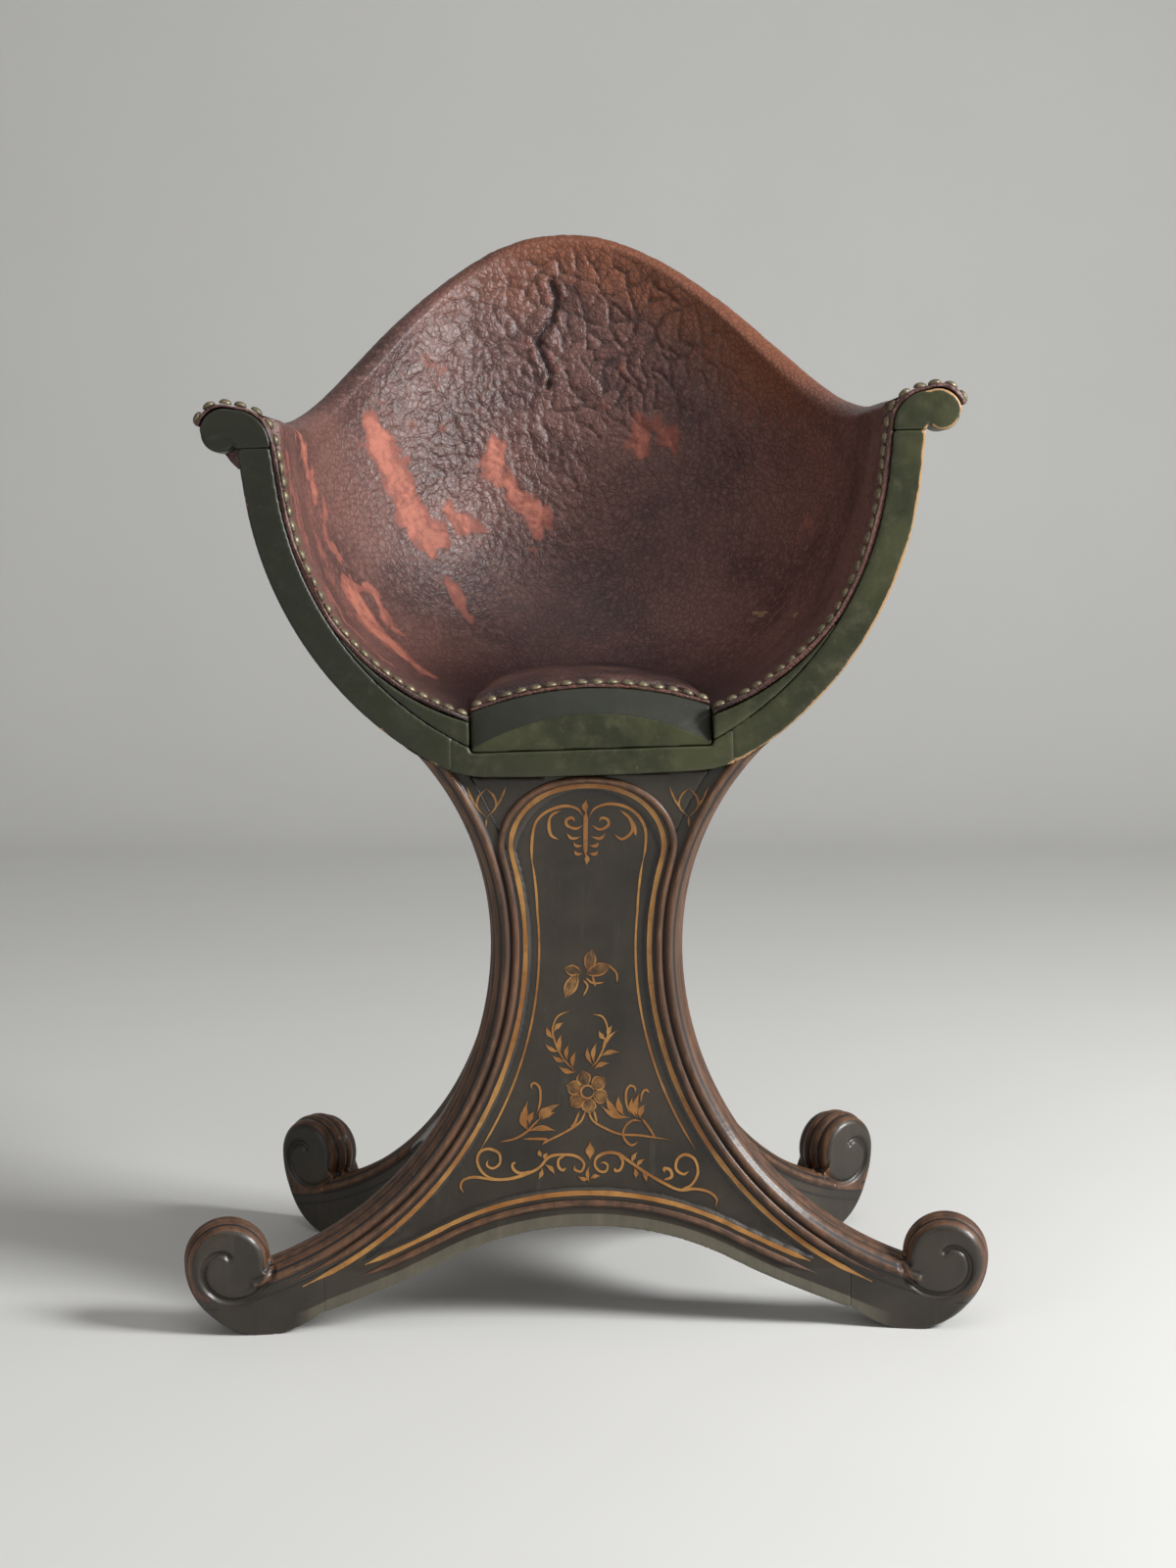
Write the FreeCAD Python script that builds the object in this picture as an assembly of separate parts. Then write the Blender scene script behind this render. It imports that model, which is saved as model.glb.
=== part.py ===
import FreeCAD, Part
import math
import os

# Gondola chair: a leather-lined bucket shell on an hourglass pedestal with four reeded scroll-footed legs.
# Millimetres. +X is the sitter's left (the viewer's right), +Y the back, +Z up. The chair faces -Y.
# The origin lies on the floor, under the middle of the chair's box.

V = FreeCAD.Vector
UP = V(0, 0, 1)
AXIS_Y = V(0, 1, 0)
MIRROR_X = V(1, 0, 0)
ORIGIN = V(0, 0, 0)

# Fits
SEAM = 0.2            # gap left at a scribed or glued seam
SOFT_GAP = 0.3        # gap between leather and what it lies on
SEAT_GAP = 1.0        # play of the lift-out seat in its well, each side
PIN_GAP = 0.1         # radial room of a dowel in its hole

# The seat well, which the shell's floor and the pedestal under it follow
WELL_HALF = 86.5

# Legs, each in its own upright plane: u runs outward from the waist, z up
LEG_THICK = 37.0
LEG_WIDE = 20.0
UPPER_R = 206.0
UPPER_HIGH = 124.0    # from the waist up to the shell
LEG_TOP_SPARE = 26.7  # the legs run this far past the shell's underside, scribed to its round
UPPER_STEPS = 5       # the leg is shaped in this many flats above the waist
LOWER_R = 238.0
LOWER_STEPS = 8       # and in this many below it
LOWER_TURN_DEG = 72.0
LEG_END_Z = 48.65     # height at which the lower sweep runs into the roll
WAIST_Z = LEG_END_Z + LOWER_R * math.sin(math.radians(LOWER_TURN_DEG))
UPPER_TURN_DEG = math.degrees(math.asin((UPPER_HIGH + LEG_TOP_SPARE) / UPPER_R))
REEDS = 4
REED_HIGH = 2.6
REED_FLAT = 0.36      # flat share of each reed's width
BEAD_WIDE = 6.0
BEAD_HIGH = 1.6
EYE_BEYOND = 27.55    # from the end of the sweep to the roll's middle
EYE_U = EYE_BEYOND + LOWER_R * (1 - math.cos(math.radians(LOWER_TURN_DEG)))
FRONT_EYE_Z = 51.0
REAR_EYE_Z = 63.0
ROLL_R = 31.0
ROLL_SIDES = 20       # flats round the roll
ROLL_BARREL = 6.0     # the roll swells by this much towards its middle
LEG_BARREL = 2.5      # and the leg's reeded edge by this much
TOE_SHY = 20.0        # the toe is struck from this far inside the roll's middle
TOE_U = EYE_U - TOE_SHY
TOE_LONG = 48.0
TOE_BACK_U = TOE_U - TOE_LONG
TOE_BACK_Z = 15.0
HEEL_LONG = 72.0
HEEL_U = TOE_U - HEEL_LONG # the rear feet run out into the leg here
FOOT_FLAT = 0.5       # the roll is cut flat by this much
SOLE_FLAT = 12.0      # length of the flat sole behind it
NOTCH_R = 4.0
SPIRAL_WIDE = 3.6
SPIRAL_DEEP = 3.0
SPIRAL_EYE = 0.1      # where the spiral ends and turns, as shares of the roll's radius beside its middle
SPIRAL_TURN = 0.42
FRONT_LEG_DEG = 8.0
FRONT_LEG_IN = 20.0   # the front legs' waists lie this far inside the well's sides
FRONT_LEG_X = WELL_HALF - FRONT_LEG_IN
FRONT_LEG_BACK = 10.0 # the front legs' faces lie this far behind the hoop's
REAR_LEG_DEG = 36.0
REAR_LEG_IN = 16.5
REAR_LEG_X = WELL_HALF - REAR_LEG_IN
REAR_LEG_SHY = 5.0    # the rear legs stand this far in front of the apse

# Hoop: the front frame of the shell, two arm arcs on a flat bottom rail
HOOP_Y = -197.5       # front plane of the hoop
HOOP_DEEP = 34.0
HOOP_INNER_R = 241.0
HOOP_RING = 23.0
HOOP_OUTER_R = HOOP_INNER_R + HOOP_RING
HOOP_BACK_Y = HOOP_Y + HOOP_DEEP
RAIL_LOW_Z = WAIST_Z + UPPER_HIGH  # underside of the bottom rail and of the shell floor
RAIL_HIGH = 19.0
RAIL_TOP_Z = RAIL_LOW_Z + RAIL_HIGH
RAIL_BEYOND = 13.5    # the rail is joined to the arms this far beyond the well
RAIL_HALF = WELL_HALF + RAIL_BEYOND
FLAT_BEYOND = 5.3     # the shell's underside is flat to this far beyond the well
FLAT_HALF = WELL_HALF + FLAT_BEYOND
ARC_SHIFT = 24.5      # each arm's arc is struck from this far beyond the centre line
ARC_Z = RAIL_LOW_Z + math.sqrt(HOOP_OUTER_R ** 2 - (FLAT_HALF + ARC_SHIFT) ** 2)
FLARE_DEG = 7.0       # the arms lean out above the arcs
SETTLE_DEG = 1.7      # the old shell has settled, with its +X side higher
SETTLE_X = 3.5        # and stands this far off the pedestal's centre line

# Ear tips
EAR_JOINT_Z = ARC_Z   # the ear tips are scarfed on here
EAR_RISE = 27.0
EAR_OUT = 25.0        # how far the hook reaches beyond the arm's outer edge
EAR_HOOK = 13.0       # height of the hook's tip below the ear's top
EAR_BELLY = 6.0       # how far the ear's inside bends out, two thirds of the way up
EAR_TOP_SHIFT = 2.0   # the highest point lies this far beyond the arm's outer edge
EAR_TIP_ROUND = 1.5

# Tub behind the hoop: a straight trough that ends in a round apse
TROUGH_DEEP = 150.0
APSE_Y = HOOP_Y + TROUGH_DEEP
STAVE_SHY = 2.0       # the staves stand this far inside the hoop's outer edge
STAVE_THICK = 14.0
STAVE_OUTER_R = HOOP_OUTER_R - STAVE_SHY
STAVE_INNER_R = STAVE_OUTER_R - STAVE_THICK
STAVE_FOOT_X = FLAT_HALF + SEAM  # the staves stand against the floor board here
APSE_STAVES = 8
STAVE_INSET = 3.0     # staves are flat across, so their middles lie inside the round
ARM_RISE = 25.0
ARM_TOP_Z = EAR_JOINT_Z + ARM_RISE
CREST_RISE = 165.0
RIM_POWER = 2.9       # shape of the rim's climb round the apse

# Leather
LINING_THICK = 4.0
LINING_R = HOOP_INNER_R - LINING_THICK
ROLL_HIGH = 26.0
CROWN_RUNS = 6        # straight runs that round a padded edge or the seat's crown
ROLL_CROWN = 11.0
ROLL_OVER = 4.0       # the roll stands this far outside the staves
RIGHT_EAR_ROLL = 26.0 # height of the roll behind the +X ear
LEFT_EAR_ROLL = 40.0  # on the other ear the leather has slipped lower
EAR_ROLL_OVER = 26.0
EAR_ROLL_TUCK = 20.0  # how far the roll's underside draws in there
ROLL_TUCK = 4.0
MARGIN_SETBACK = 2.0  # the leather stops this far behind the hoop's front
EAR_SKIN = 2.7

# Seat well: the bearers round it sweep the lining down to the seat
BEARER_LIFT = 22.0    # the bearers' lower edges over the rail's top
BEARER_LOW_Z = RAIL_TOP_Z + BEARER_LIFT
BEARER_HIGH = 65.0
BEARER_TOP_Z = BEARER_LOW_Z + BEARER_HIGH
BEARER_SHY = 1.0      # the bearers' upper edges stand this far inside the hoop's wall
BEARER_TOP_R = HOOP_INNER_R - BEARER_SHY
BEARER_MID_OUT = 0.627 # the hollow's middle, as shares of its run and of its height
BEARER_MID_UP = 0.4615

# Lift-out seat
SEAT_RAIL_BACKSET = 3.0
SEAT_RAIL_THICK = 24.0
SEAT_BEVEL = 14.0     # depth of the bevel over the arched top
SEAT_END_HIGH = 28.0
SEAT_CROWN_HIGH = 43.0
LUNETTE_HIGH = 25.0
LUNETTE_END = 1.5
BATTEN_HIGH = 12.0
BATTEN_WIDE = 26.0
BATTEN_INSET = 12.0
SEAT_BOARD_THICK = 14.0
SEAT_STRIP_THICK = 2.5
PAD_EDGE = 5.0        # height of the pad's drawn-in side above the board
PAD_CROWN = 26.0
PAD_DRAW = 4.0        # how far the sides draw in below the edge
PAD_TURNS_DEG = (15, 30, 45, 58, 68, 76)  # where the pad is shaped round its back end
SEAT_LIFT_ROOM = 0.2
SEAT_BACK_R = WELL_HALF - SEAT_GAP - STAVE_INSET  # round back end of the seat board

# Nails
NAIL_R = 4.4
NAIL_HIGH = 2.6
NAIL_PITCH = 10.6
NAIL_INSET = 5.5      # from the leather's front edge to the nail's middle
NAIL_SIDES = 6

# Pedestal boards, hollowed in straight runs
FRONT_LEG_Y = HOOP_Y + FRONT_LEG_BACK
REAR_LEG_Y = APSE_Y - REAR_LEG_SHY
BOARD_STEPS = 12
PANEL_THICK = 18.0
ARCH_HIGH = 74.0
ARCH_KNEE_OUT = 33.5  # the low arch bends over into the feet this far outside the legs' waist
ARCH_KNEE_X = FRONT_LEG_X + ARCH_KNEE_OUT
ARCH_KNEE_Z = 52.0
ARCH_TOE_SHY = 2.5    # and ends this far inside the toe
ARCH_TOE_X = FRONT_LEG_X + TOE_U - ARCH_TOE_SHY
ARCH_SWING = 3.5      # the arch's arms sag by this much
ARCH_BELOW = 1.0      # and end this far below the floor
FIELD_SUNK = 2.0
FIELD_EDGE = 5.0      # width of the flat border between leg and sunk field
FIELD_TOP_EDGE = 10.0 # and under the shell
FIELD_HEAD = 44.0     # height of the field's round head
FIELD_HEAD_Z = RAIL_LOW_Z - FIELD_TOP_EDGE
FIELD_SPRING_Z = FIELD_HEAD_Z - FIELD_HEAD
FIELD_FOOT = 26.0     # border over the arched lower edge
SIDE_INSET = 8.0
SIDE_THICK = 14.0
SIDE_END_SHY = 114.0  # the side boards end this far inside the roll's middle
SIDE_END_U = EYE_U - SIDE_END_SHY
SIDE_ARCH_RISE = 36.0
REAR_INSET = 6.0
REAR_END_SHY = 74.0   # and the rear board this far
REAR_END_U = EYE_U - REAR_END_SHY
REAR_ARCH_RISE = 62.0

# Blocks and dowels
UPPER_BLOCK_HIGH = 52.0
WAIST_BLOCK_HIGH = 60.0
BLOCK_IN = 18.5       # the blocks end this far inside the well's sides
BLOCK_HALF = WELL_HALF - BLOCK_IN
RAIL_DOWEL_R = 4.5
RAIL_DOWEL_LONG = 44.0

CUTTER_SPARE_DEG = 1.0
FAR = 400.0           # reach of cutting tools past the chair


def edge(start, end):
    return Part.LineSegment(start, end).toShape()


def arc(start, middle, end):
    return Part.Arc(start, middle, end).toShape()


def face_of(edges):
    return Part.Face(Part.Wire(Part.__sortEdges__(edges)))


def box(x_from, x_to, y_from, y_to, z_from, z_to):
    return Part.makeBox(x_to - x_from, y_to - y_from, z_to - z_from, V(x_from, y_from, z_from))


def mirrored(shape):
    return shape.mirror(ORIGIN, MIRROR_X)


def largest(shape):
    return max(shape.Solids, key=lambda solid: solid.Volume)


def closed_solid(faces):
    solid = Part.Solid(Part.Shell(faces))
    return solid if solid.Volume > 0 else Part.Solid(solid.Shells[0].reversed())


def triangle(first, second, third):
    return Part.Face(Part.makePolygon([first, second, third, first]))


def faceted(wires):
    """A solid through matching polygons, with each four-cornered side laid in two flat halves."""
    rings = [[vertex.Point for vertex in wire.OrderedVertexes] for wire in wires]
    faces = [Part.Face(wires[0]), Part.Face(wires[-1])]
    for near, far in zip(rings, rings[1:]):
        for index in range(len(near)):
            faces.append(triangle(near[index - 1], near[index], far[index - 1]))
            faces.append(triangle(far[index - 1], near[index], far[index]))
    return closed_solid(faces)


def joined(shapes):
    return shapes[0].multiFuse(shapes[1:]).removeSplitter()


def settled(shape):
    turned = shape.copy()
    turned.rotate(V(0, 0, RAIL_LOW_Z), AXIS_Y, -SETTLE_DEG)
    turned.translate(V(SETTLE_X, 0, 0))
    return turned


def save(name, shape):
    shape.exportStep("parts/" + name + ".step")
    volume = round(shape.Volume / 1000.0, 1)
    print(name, "solids", len(shape.Solids), "volume", volume, "cm3", shape.isValid())


# The shell's wall in section: an arc that runs on into a straight lean. x is taken on the +X side.
def knee_z(radius):
    return ARC_Z - radius * math.sin(math.radians(FLARE_DEG))


def wall_x(radius, z):
    lean = math.radians(FLARE_DEG)
    if z < knee_z(radius):
        return math.sqrt(radius ** 2 - (ARC_Z - z) ** 2) - ARC_SHIFT
    return radius * math.cos(lean) - ARC_SHIFT + (z - knee_z(radius)) * math.tan(lean)


def wall_z(radius, x):
    return ARC_Z - math.sqrt(radius ** 2 - (x + ARC_SHIFT) ** 2)


def wall_point(radius, z):
    return V(wall_x(radius, z), 0, z)


def wall_edges(radius, z_low, z_high):
    low = wall_point(radius, z_low)
    knee = wall_point(radius, knee_z(radius))
    low_angle = math.asin((z_low - ARC_Z) / radius)
    middle_angle = (low_angle - math.radians(FLARE_DEG)) / 2
    middle = V(radius * math.cos(middle_angle) - ARC_SHIFT, 0, ARC_Z + radius * math.sin(middle_angle))
    return [arc(low, middle, knee), edge(knee, wall_point(radius, z_high))]


def wall_band(inner, outer, x_low, z_high):
    inner_low = wall_z(inner, x_low)
    outer_low = wall_z(outer, x_low)
    edges = wall_edges(inner, inner_low, z_high)
    edges += wall_edges(outer, outer_low, z_high)
    edges.append(edge(V(x_low, 0, inner_low), V(x_low, 0, outer_low)))
    edges.append(edge(wall_point(inner, z_high), wall_point(outer, z_high)))
    return face_of(edges)


def trough_piece(face, y_from, y_to):
    placed = face.copy()
    placed.translate(V(0, y_from, 0))
    return placed.extrude(V(0, y_to - y_from, 0))


def apse_piece(face, from_deg, to_deg):
    """A segment of the apse, straight across like a stave, cut to the joint planes at its two sides."""
    half = math.radians(to_deg - from_deg) / 2
    reach = FAR * math.tan(half)
    wedge = Part.Face(Part.makePolygon([ORIGIN, V(FAR, -reach, 0), V(FAR, reach, 0), ORIGIN]))
    placed = face.copy()
    placed.translate(V(-STAVE_INSET, 0, 0))
    piece = trough_piece(placed, -reach, reach).common(wedge.extrude(V(0, 0, 3 * FAR)))
    piece.rotate(ORIGIN, UP, (from_deg + to_deg) / 2)
    piece.translate(V(0, APSE_Y, 0))
    return piece


# Hoop
def hoop_face(inner, low_inner, outer, low_outer, z_high):
    edges = []
    for radius, low in ((inner, low_inner), (outer, low_outer)):
        side = wall_edges(radius, low, z_high)
        low_x = wall_x(radius, low)
        edges += side
        edges += [mirrored(part) for part in side]
        edges.append(edge(V(-low_x, 0, low), V(low_x, 0, low)))
    top = edge(wall_point(inner, z_high), wall_point(outer, z_high))
    edges += [top, mirrored(top)]
    return face_of(edges)


def hoop_prism(grow, y_from, y_to):
    """The space the shell's outside takes, as a cutting tool for what stands under it."""
    radius = HOOP_OUTER_R + grow
    low = RAIL_LOW_Z - grow
    side = wall_edges(radius, low, ARM_TOP_Z)
    low_x = wall_x(radius, low)
    top = wall_point(radius, ARM_TOP_Z)
    edges = side + [mirrored(part) for part in side]
    edges.append(edge(V(-low_x, 0, low), V(low_x, 0, low)))
    edges.append(edge(V(-top.x, 0, top.z), top))
    return trough_piece(face_of(edges), y_from, y_to)


def tangent_pin(radius, length, middle, slope_deg):
    slope = math.radians(slope_deg)
    along = V(math.cos(slope), 0, math.sin(slope))
    return Part.makeCylinder(radius, length, middle - along * (length / 2), along)


def rail_dowel(grow):
    middle_z = (wall_z(HOOP_INNER_R, RAIL_HALF) + wall_z(HOOP_OUTER_R, RAIL_HALF)) / 2
    middle_r = (HOOP_INNER_R + HOOP_OUTER_R) / 2
    slope = math.degrees(math.asin((RAIL_HALF + ARC_SHIFT) / middle_r))
    middle = V(RAIL_HALF, HOOP_Y + HOOP_DEEP / 2, middle_z)
    return tangent_pin(RAIL_DOWEL_R + grow, RAIL_DOWEL_LONG + 2 * grow, middle, slope)


def ear_face(grow):
    """The ear tip in front view: it rises from the scarf and curls outward into a hook."""
    inner_x = wall_x(HOOP_INNER_R, EAR_JOINT_Z) - grow
    outer_x = wall_x(HOOP_OUTER_R, EAR_JOINT_Z)
    top_z = EAR_JOINT_Z + EAR_RISE + grow
    tip_x = outer_x + EAR_OUT + grow
    tip_z = top_z - EAR_HOOK
    top_x = outer_x + EAR_TOP_SHIFT
    foot_in = V(inner_x, 0, EAR_JOINT_Z)
    foot_out = V(outer_x, 0, EAR_JOINT_Z)
    top = V(top_x, 0, top_z)
    tip = V(tip_x, 0, tip_z)
    under = V(tip_x - EAR_HOOK / 2 - grow, 0, tip_z - EAR_HOOK / 2 - grow)
    neck = V(outer_x + EAR_HOOK * 0.6, 0, EAR_JOINT_Z + EAR_RISE / 3)
    edges = [
        arc(foot_in, V(inner_x + EAR_BELLY, 0, EAR_JOINT_Z + EAR_RISE * 2 / 3 + grow / 2), top),
        arc(top, V(tip_x - EAR_HOOK / 3, 0, top_z - EAR_HOOK / 3), tip),
        arc(tip, V(tip_x - EAR_TIP_ROUND, 0, tip_z - EAR_HOOK / 3), under),
        arc(under, neck, foot_out),
        edge(foot_out, foot_in),
    ]
    return face_of(edges)


def make_hoop():
    outline = hoop_face(HOOP_INNER_R, RAIL_TOP_Z, HOOP_OUTER_R, RAIL_LOW_Z, EAR_JOINT_Z)
    hoop = trough_piece(outline, HOOP_Y, HOOP_BACK_Y)
    middle = box(-RAIL_HALF, RAIL_HALF, HOOP_Y - FAR, HOOP_BACK_Y + FAR, 0, FAR * 2)
    beyond = box(RAIL_HALF, FAR, HOOP_Y - FAR, HOOP_BACK_Y + FAR, 0, FAR * 2)
    dowel_hole = rail_dowel(PIN_GAP)
    seat_space = box(-WELL_HALF, WELL_HALF, HOOP_Y - FAR, HOOP_BACK_Y + FAR, RAIL_TOP_Z, FAR * 2)
    rail = hoop.common(middle).cut(seat_space).cut(dowel_hole).cut(mirrored(dowel_hole))
    arm = hoop.common(beyond).cut(dowel_hole)
    ear = trough_piece(ear_face(0.0), HOOP_Y, HOOP_BACK_Y)
    pieces = {"front_rail": rail}
    for side, turn in (("right", lambda shape: shape), ("left", mirrored)):
        pieces[side + "_arm"] = turn(arm)
        pieces[side + "_ear_tip"] = turn(ear)
    pieces["rail_dowels"] = Part.makeCompound([rail_dowel(0.0), mirrored(rail_dowel(0.0))])
    return pieces


# Seat well
def bearer_points(grow):
    """Three points of the bearer's hollow top, moved by grow towards the sitter."""
    low = V(WELL_HALF + SEAM, 0, BEARER_LOW_Z + grow)
    slope = math.atan2(BEARER_HIGH, wall_x(BEARER_TOP_R, BEARER_TOP_Z) - WELL_HALF)
    mid_x = WELL_HALF + BEARER_MID_OUT * (wall_x(BEARER_TOP_R, BEARER_TOP_Z) - WELL_HALF)
    mid_z = BEARER_LOW_Z + BEARER_MID_UP * BEARER_HIGH
    middle = V(mid_x - grow * math.sin(slope), 0, mid_z + grow * math.cos(slope))
    high = wall_point(BEARER_TOP_R - grow, BEARER_TOP_Z)
    return low, middle, high


def bearer_face(outer):
    low, middle, high = bearer_points(0.0)
    z_low = max(RAIL_TOP_Z, wall_z(outer, low.x))
    foot = V(max(low.x, wall_x(outer, z_low)), 0, z_low)
    start_angle = math.asin((z_low - ARC_Z) / outer)
    end_angle = math.asin((BEARER_TOP_Z - ARC_Z) / outer)
    half_angle = (start_angle + end_angle) / 2
    belly = V(outer * math.cos(half_angle) - ARC_SHIFT, 0, ARC_Z + outer * math.sin(half_angle))
    top_out = wall_point(outer, BEARER_TOP_Z)
    edges = [arc(low, middle, high), edge(high, top_out), arc(top_out, belly, foot)]
    if foot.x - low.x > SEAM:
        edges.append(edge(foot, V(low.x, 0, z_low)))
        edges.append(edge(V(low.x, 0, z_low), low))
    else:
        edges.append(edge(foot, low))
    return face_of(edges)


def make_bearers():
    block = trough_piece(bearer_face(HOOP_INNER_R - SEAM), HOOP_Y, HOOP_BACK_Y)
    face = bearer_face(STAVE_INNER_R - SEAM)
    bearer = trough_piece(face, HOOP_BACK_Y, APSE_Y)
    return {
        "right_corner_block": block,
        "left_corner_block": mirrored(block),
        "right_bearer": bearer,
        "left_bearer": mirrored(bearer),
        "back_bearer": joined([apse_piece(face, from_deg, to_deg) for from_deg, to_deg in apse_spans()]),
    }


# Shell: staves round the trough and the apse, cut off in steps under the leather roll
def rim_z(angle_deg):
    return ARM_TOP_Z + CREST_RISE * abs(math.sin(math.radians(angle_deg))) ** RIM_POWER


def stave_top(angle_deg):
    return rim_z(angle_deg) - ROLL_HIGH - SOFT_GAP


def apse_cutter(from_deg, to_deg):
    """Everything above a stave's top edge: a ramp between level radial lines, like the roll's underside."""
    middle_deg = (from_deg + to_deg) / 2
    stations = [
        (from_deg - CUTTER_SPARE_DEG, stave_top(from_deg)),
        (from_deg, stave_top(from_deg)),
        (middle_deg, stave_top(middle_deg)),
        (to_deg, stave_top(to_deg)),
        (to_deg + CUTTER_SPARE_DEG, stave_top(to_deg)),
    ]
    inside = STAVE_INNER_R / 2
    wires = []
    for angle_deg, low_z in stations:
        corners = [V(inside, 0, low_z), V(FAR, 0, low_z), V(FAR, 0, 4 * FAR), V(inside, 0, 4 * FAR)]
        wire = Part.makePolygon(corners + corners[:1])
        wire.rotate(ORIGIN, UP, angle_deg)
        wire.translate(V(0, APSE_Y, 0))
        wires.append(wire)
    return Part.makeLoft(wires, True, True)


def trough_cutter(ear_high):
    """Everything above the arm's sloping top edge, which lies under the roll."""
    hoop_z = EAR_JOINT_Z + EAR_RISE - ear_high - SOFT_GAP - ROLL_TUCK
    back_z = stave_top(0) - SEAM
    corners = [
        V(0, HOOP_BACK_Y, hoop_z),
        V(0, APSE_Y, back_z),
        V(0, APSE_Y, FAR * 3),
        V(0, HOOP_BACK_Y, FAR * 3),
        V(0, HOOP_BACK_Y, hoop_z),
    ]
    return Part.Face(Part.makePolygon(corners)).extrude(V(FAR, 0, 0))


def apse_spans():
    step = 180.0 / APSE_STAVES
    return [(index * step, (index + 1) * step) for index in range(APSE_STAVES)]


def make_shell():
    tall = ARM_TOP_Z + CREST_RISE
    face = wall_band(STAVE_INNER_R, STAVE_OUTER_R, STAVE_FOOT_X, tall)
    arm_stave = trough_piece(face, HOOP_BACK_Y, APSE_Y)
    pieces = {
        "right_side_stave": arm_stave.cut(trough_cutter(RIGHT_EAR_ROLL)),
        "left_side_stave": mirrored(arm_stave.cut(trough_cutter(LEFT_EAR_ROLL))),
    }
    for index, (from_deg, to_deg) in enumerate(apse_spans()):
        stave = apse_piece(face, from_deg, to_deg).cut(apse_cutter(from_deg, to_deg))
        pieces["back_stave_%d" % (index + 1)] = stave
    floor_half = STAVE_FOOT_X - SEAM
    floor_parts = [box(-floor_half, floor_half, HOOP_BACK_Y, APSE_Y, RAIL_LOW_Z, RAIL_TOP_Z)]
    floor_face = Part.makePlane(floor_half, RAIL_HIGH, V(0, 0, RAIL_LOW_Z), V(0, -1, 0), V(1, 0, 0))
    for from_deg, to_deg in apse_spans():
        floor_parts.append(apse_piece(floor_face, from_deg, to_deg))
    pieces["shell_floor"] = joined(floor_parts)
    return pieces


# Leather
def lining_face(outer, z_high):
    """Lining section: hollow sweep at the seat, then the wall, with its back on the bearer and the staves."""
    back_low, back_middle, back_high = bearer_points(SOFT_GAP)
    low, middle, high = bearer_points(SOFT_GAP + LINING_THICK)
    high = wall_point(LINING_R, BEARER_TOP_Z + LINING_THICK)
    back_turn = wall_point(outer, BEARER_TOP_Z + SOFT_GAP)
    back_high = V(back_high.x, 0, back_turn.z)
    edges = [arc(low, middle, high)]
    edges += wall_edges(LINING_R, high.z, z_high)
    edges.append(edge(wall_point(LINING_R, z_high), wall_point(outer, z_high)))
    edges += wall_edges(outer, back_turn.z, z_high)
    if back_turn.x - back_high.x > SEAM:
        edges.append(edge(back_turn, back_high))
    else:
        back_high = back_turn
    edges.append(arc(back_high, back_middle, back_low))
    edges.append(edge(back_low, low))
    return face_of(edges)


def make_lining():
    tall = ARM_TOP_Z + CREST_RISE
    tub_face = lining_face(STAVE_INNER_R - SOFT_GAP, tall)
    margin_face = lining_face(HOOP_INNER_R - SOFT_GAP, EAR_JOINT_Z - SOFT_GAP)
    margin = trough_piece(margin_face, HOOP_Y + MARGIN_SETBACK, HOOP_BACK_Y)
    side = trough_piece(tub_face, HOOP_BACK_Y, APSE_Y)
    right = side.cut(trough_cutter(RIGHT_EAR_ROLL))
    left = mirrored(side.cut(trough_cutter(LEFT_EAR_ROLL)))
    solids = [margin, right, mirrored(margin), left]
    for from_deg, to_deg in apse_spans():
        solids.append(apse_piece(tub_face, from_deg, to_deg).cut(apse_cutter(from_deg, to_deg)))
    return joined(solids)


def crown_points(start, crown, end):
    """Points along the arc over a padded edge, which is drawn in short straight runs."""
    curve = arc(start, crown, end)
    return curve.discretize(CROWN_RUNS + 1)


def roll_wire(top_z, high, inner_x, outer_x, tuck):
    shoulder_z = top_z - ROLL_CROWN
    low_z = top_z - high
    low_out = V(outer_x - tuck, 0, low_z)
    corners = [V(inner_x, 0, low_z), low_out, V(outer_x, 0, shoulder_z), V(inner_x, 0, shoulder_z)]
    crown = V((inner_x + outer_x) / 2, 0, top_z)
    return Part.makePolygon(corners[:2] + crown_points(corners[2], crown, corners[3]) + corners[:1])


def roll_section(share, ear_high):
    """The roll beside the trough: share 0 at the ear, 1 where the apse begins."""
    ease = share * share * (3 - 2 * share)
    top_z = EAR_JOINT_Z + EAR_RISE + (ARM_TOP_Z - EAR_JOINT_Z - EAR_RISE) * ease
    high = ear_high + (ROLL_HIGH - ear_high) * share
    over = EAR_ROLL_OVER + (ROLL_OVER - EAR_ROLL_OVER) * ease
    tuck = EAR_ROLL_TUCK + (ROLL_TUCK - EAR_ROLL_TUCK) * ease
    base_z = top_z - high
    return roll_wire(top_z, high, wall_x(LINING_R, base_z), wall_x(STAVE_OUTER_R + over, base_z), tuck)


def apse_roll_section(angle_deg):
    top_z = rim_z(angle_deg)
    base_z = top_z - ROLL_HIGH
    outer_x = wall_x(STAVE_OUTER_R + ROLL_OVER, base_z)
    return roll_wire(top_z, ROLL_HIGH, wall_x(LINING_R, base_z), outer_x, ROLL_TUCK)


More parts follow.
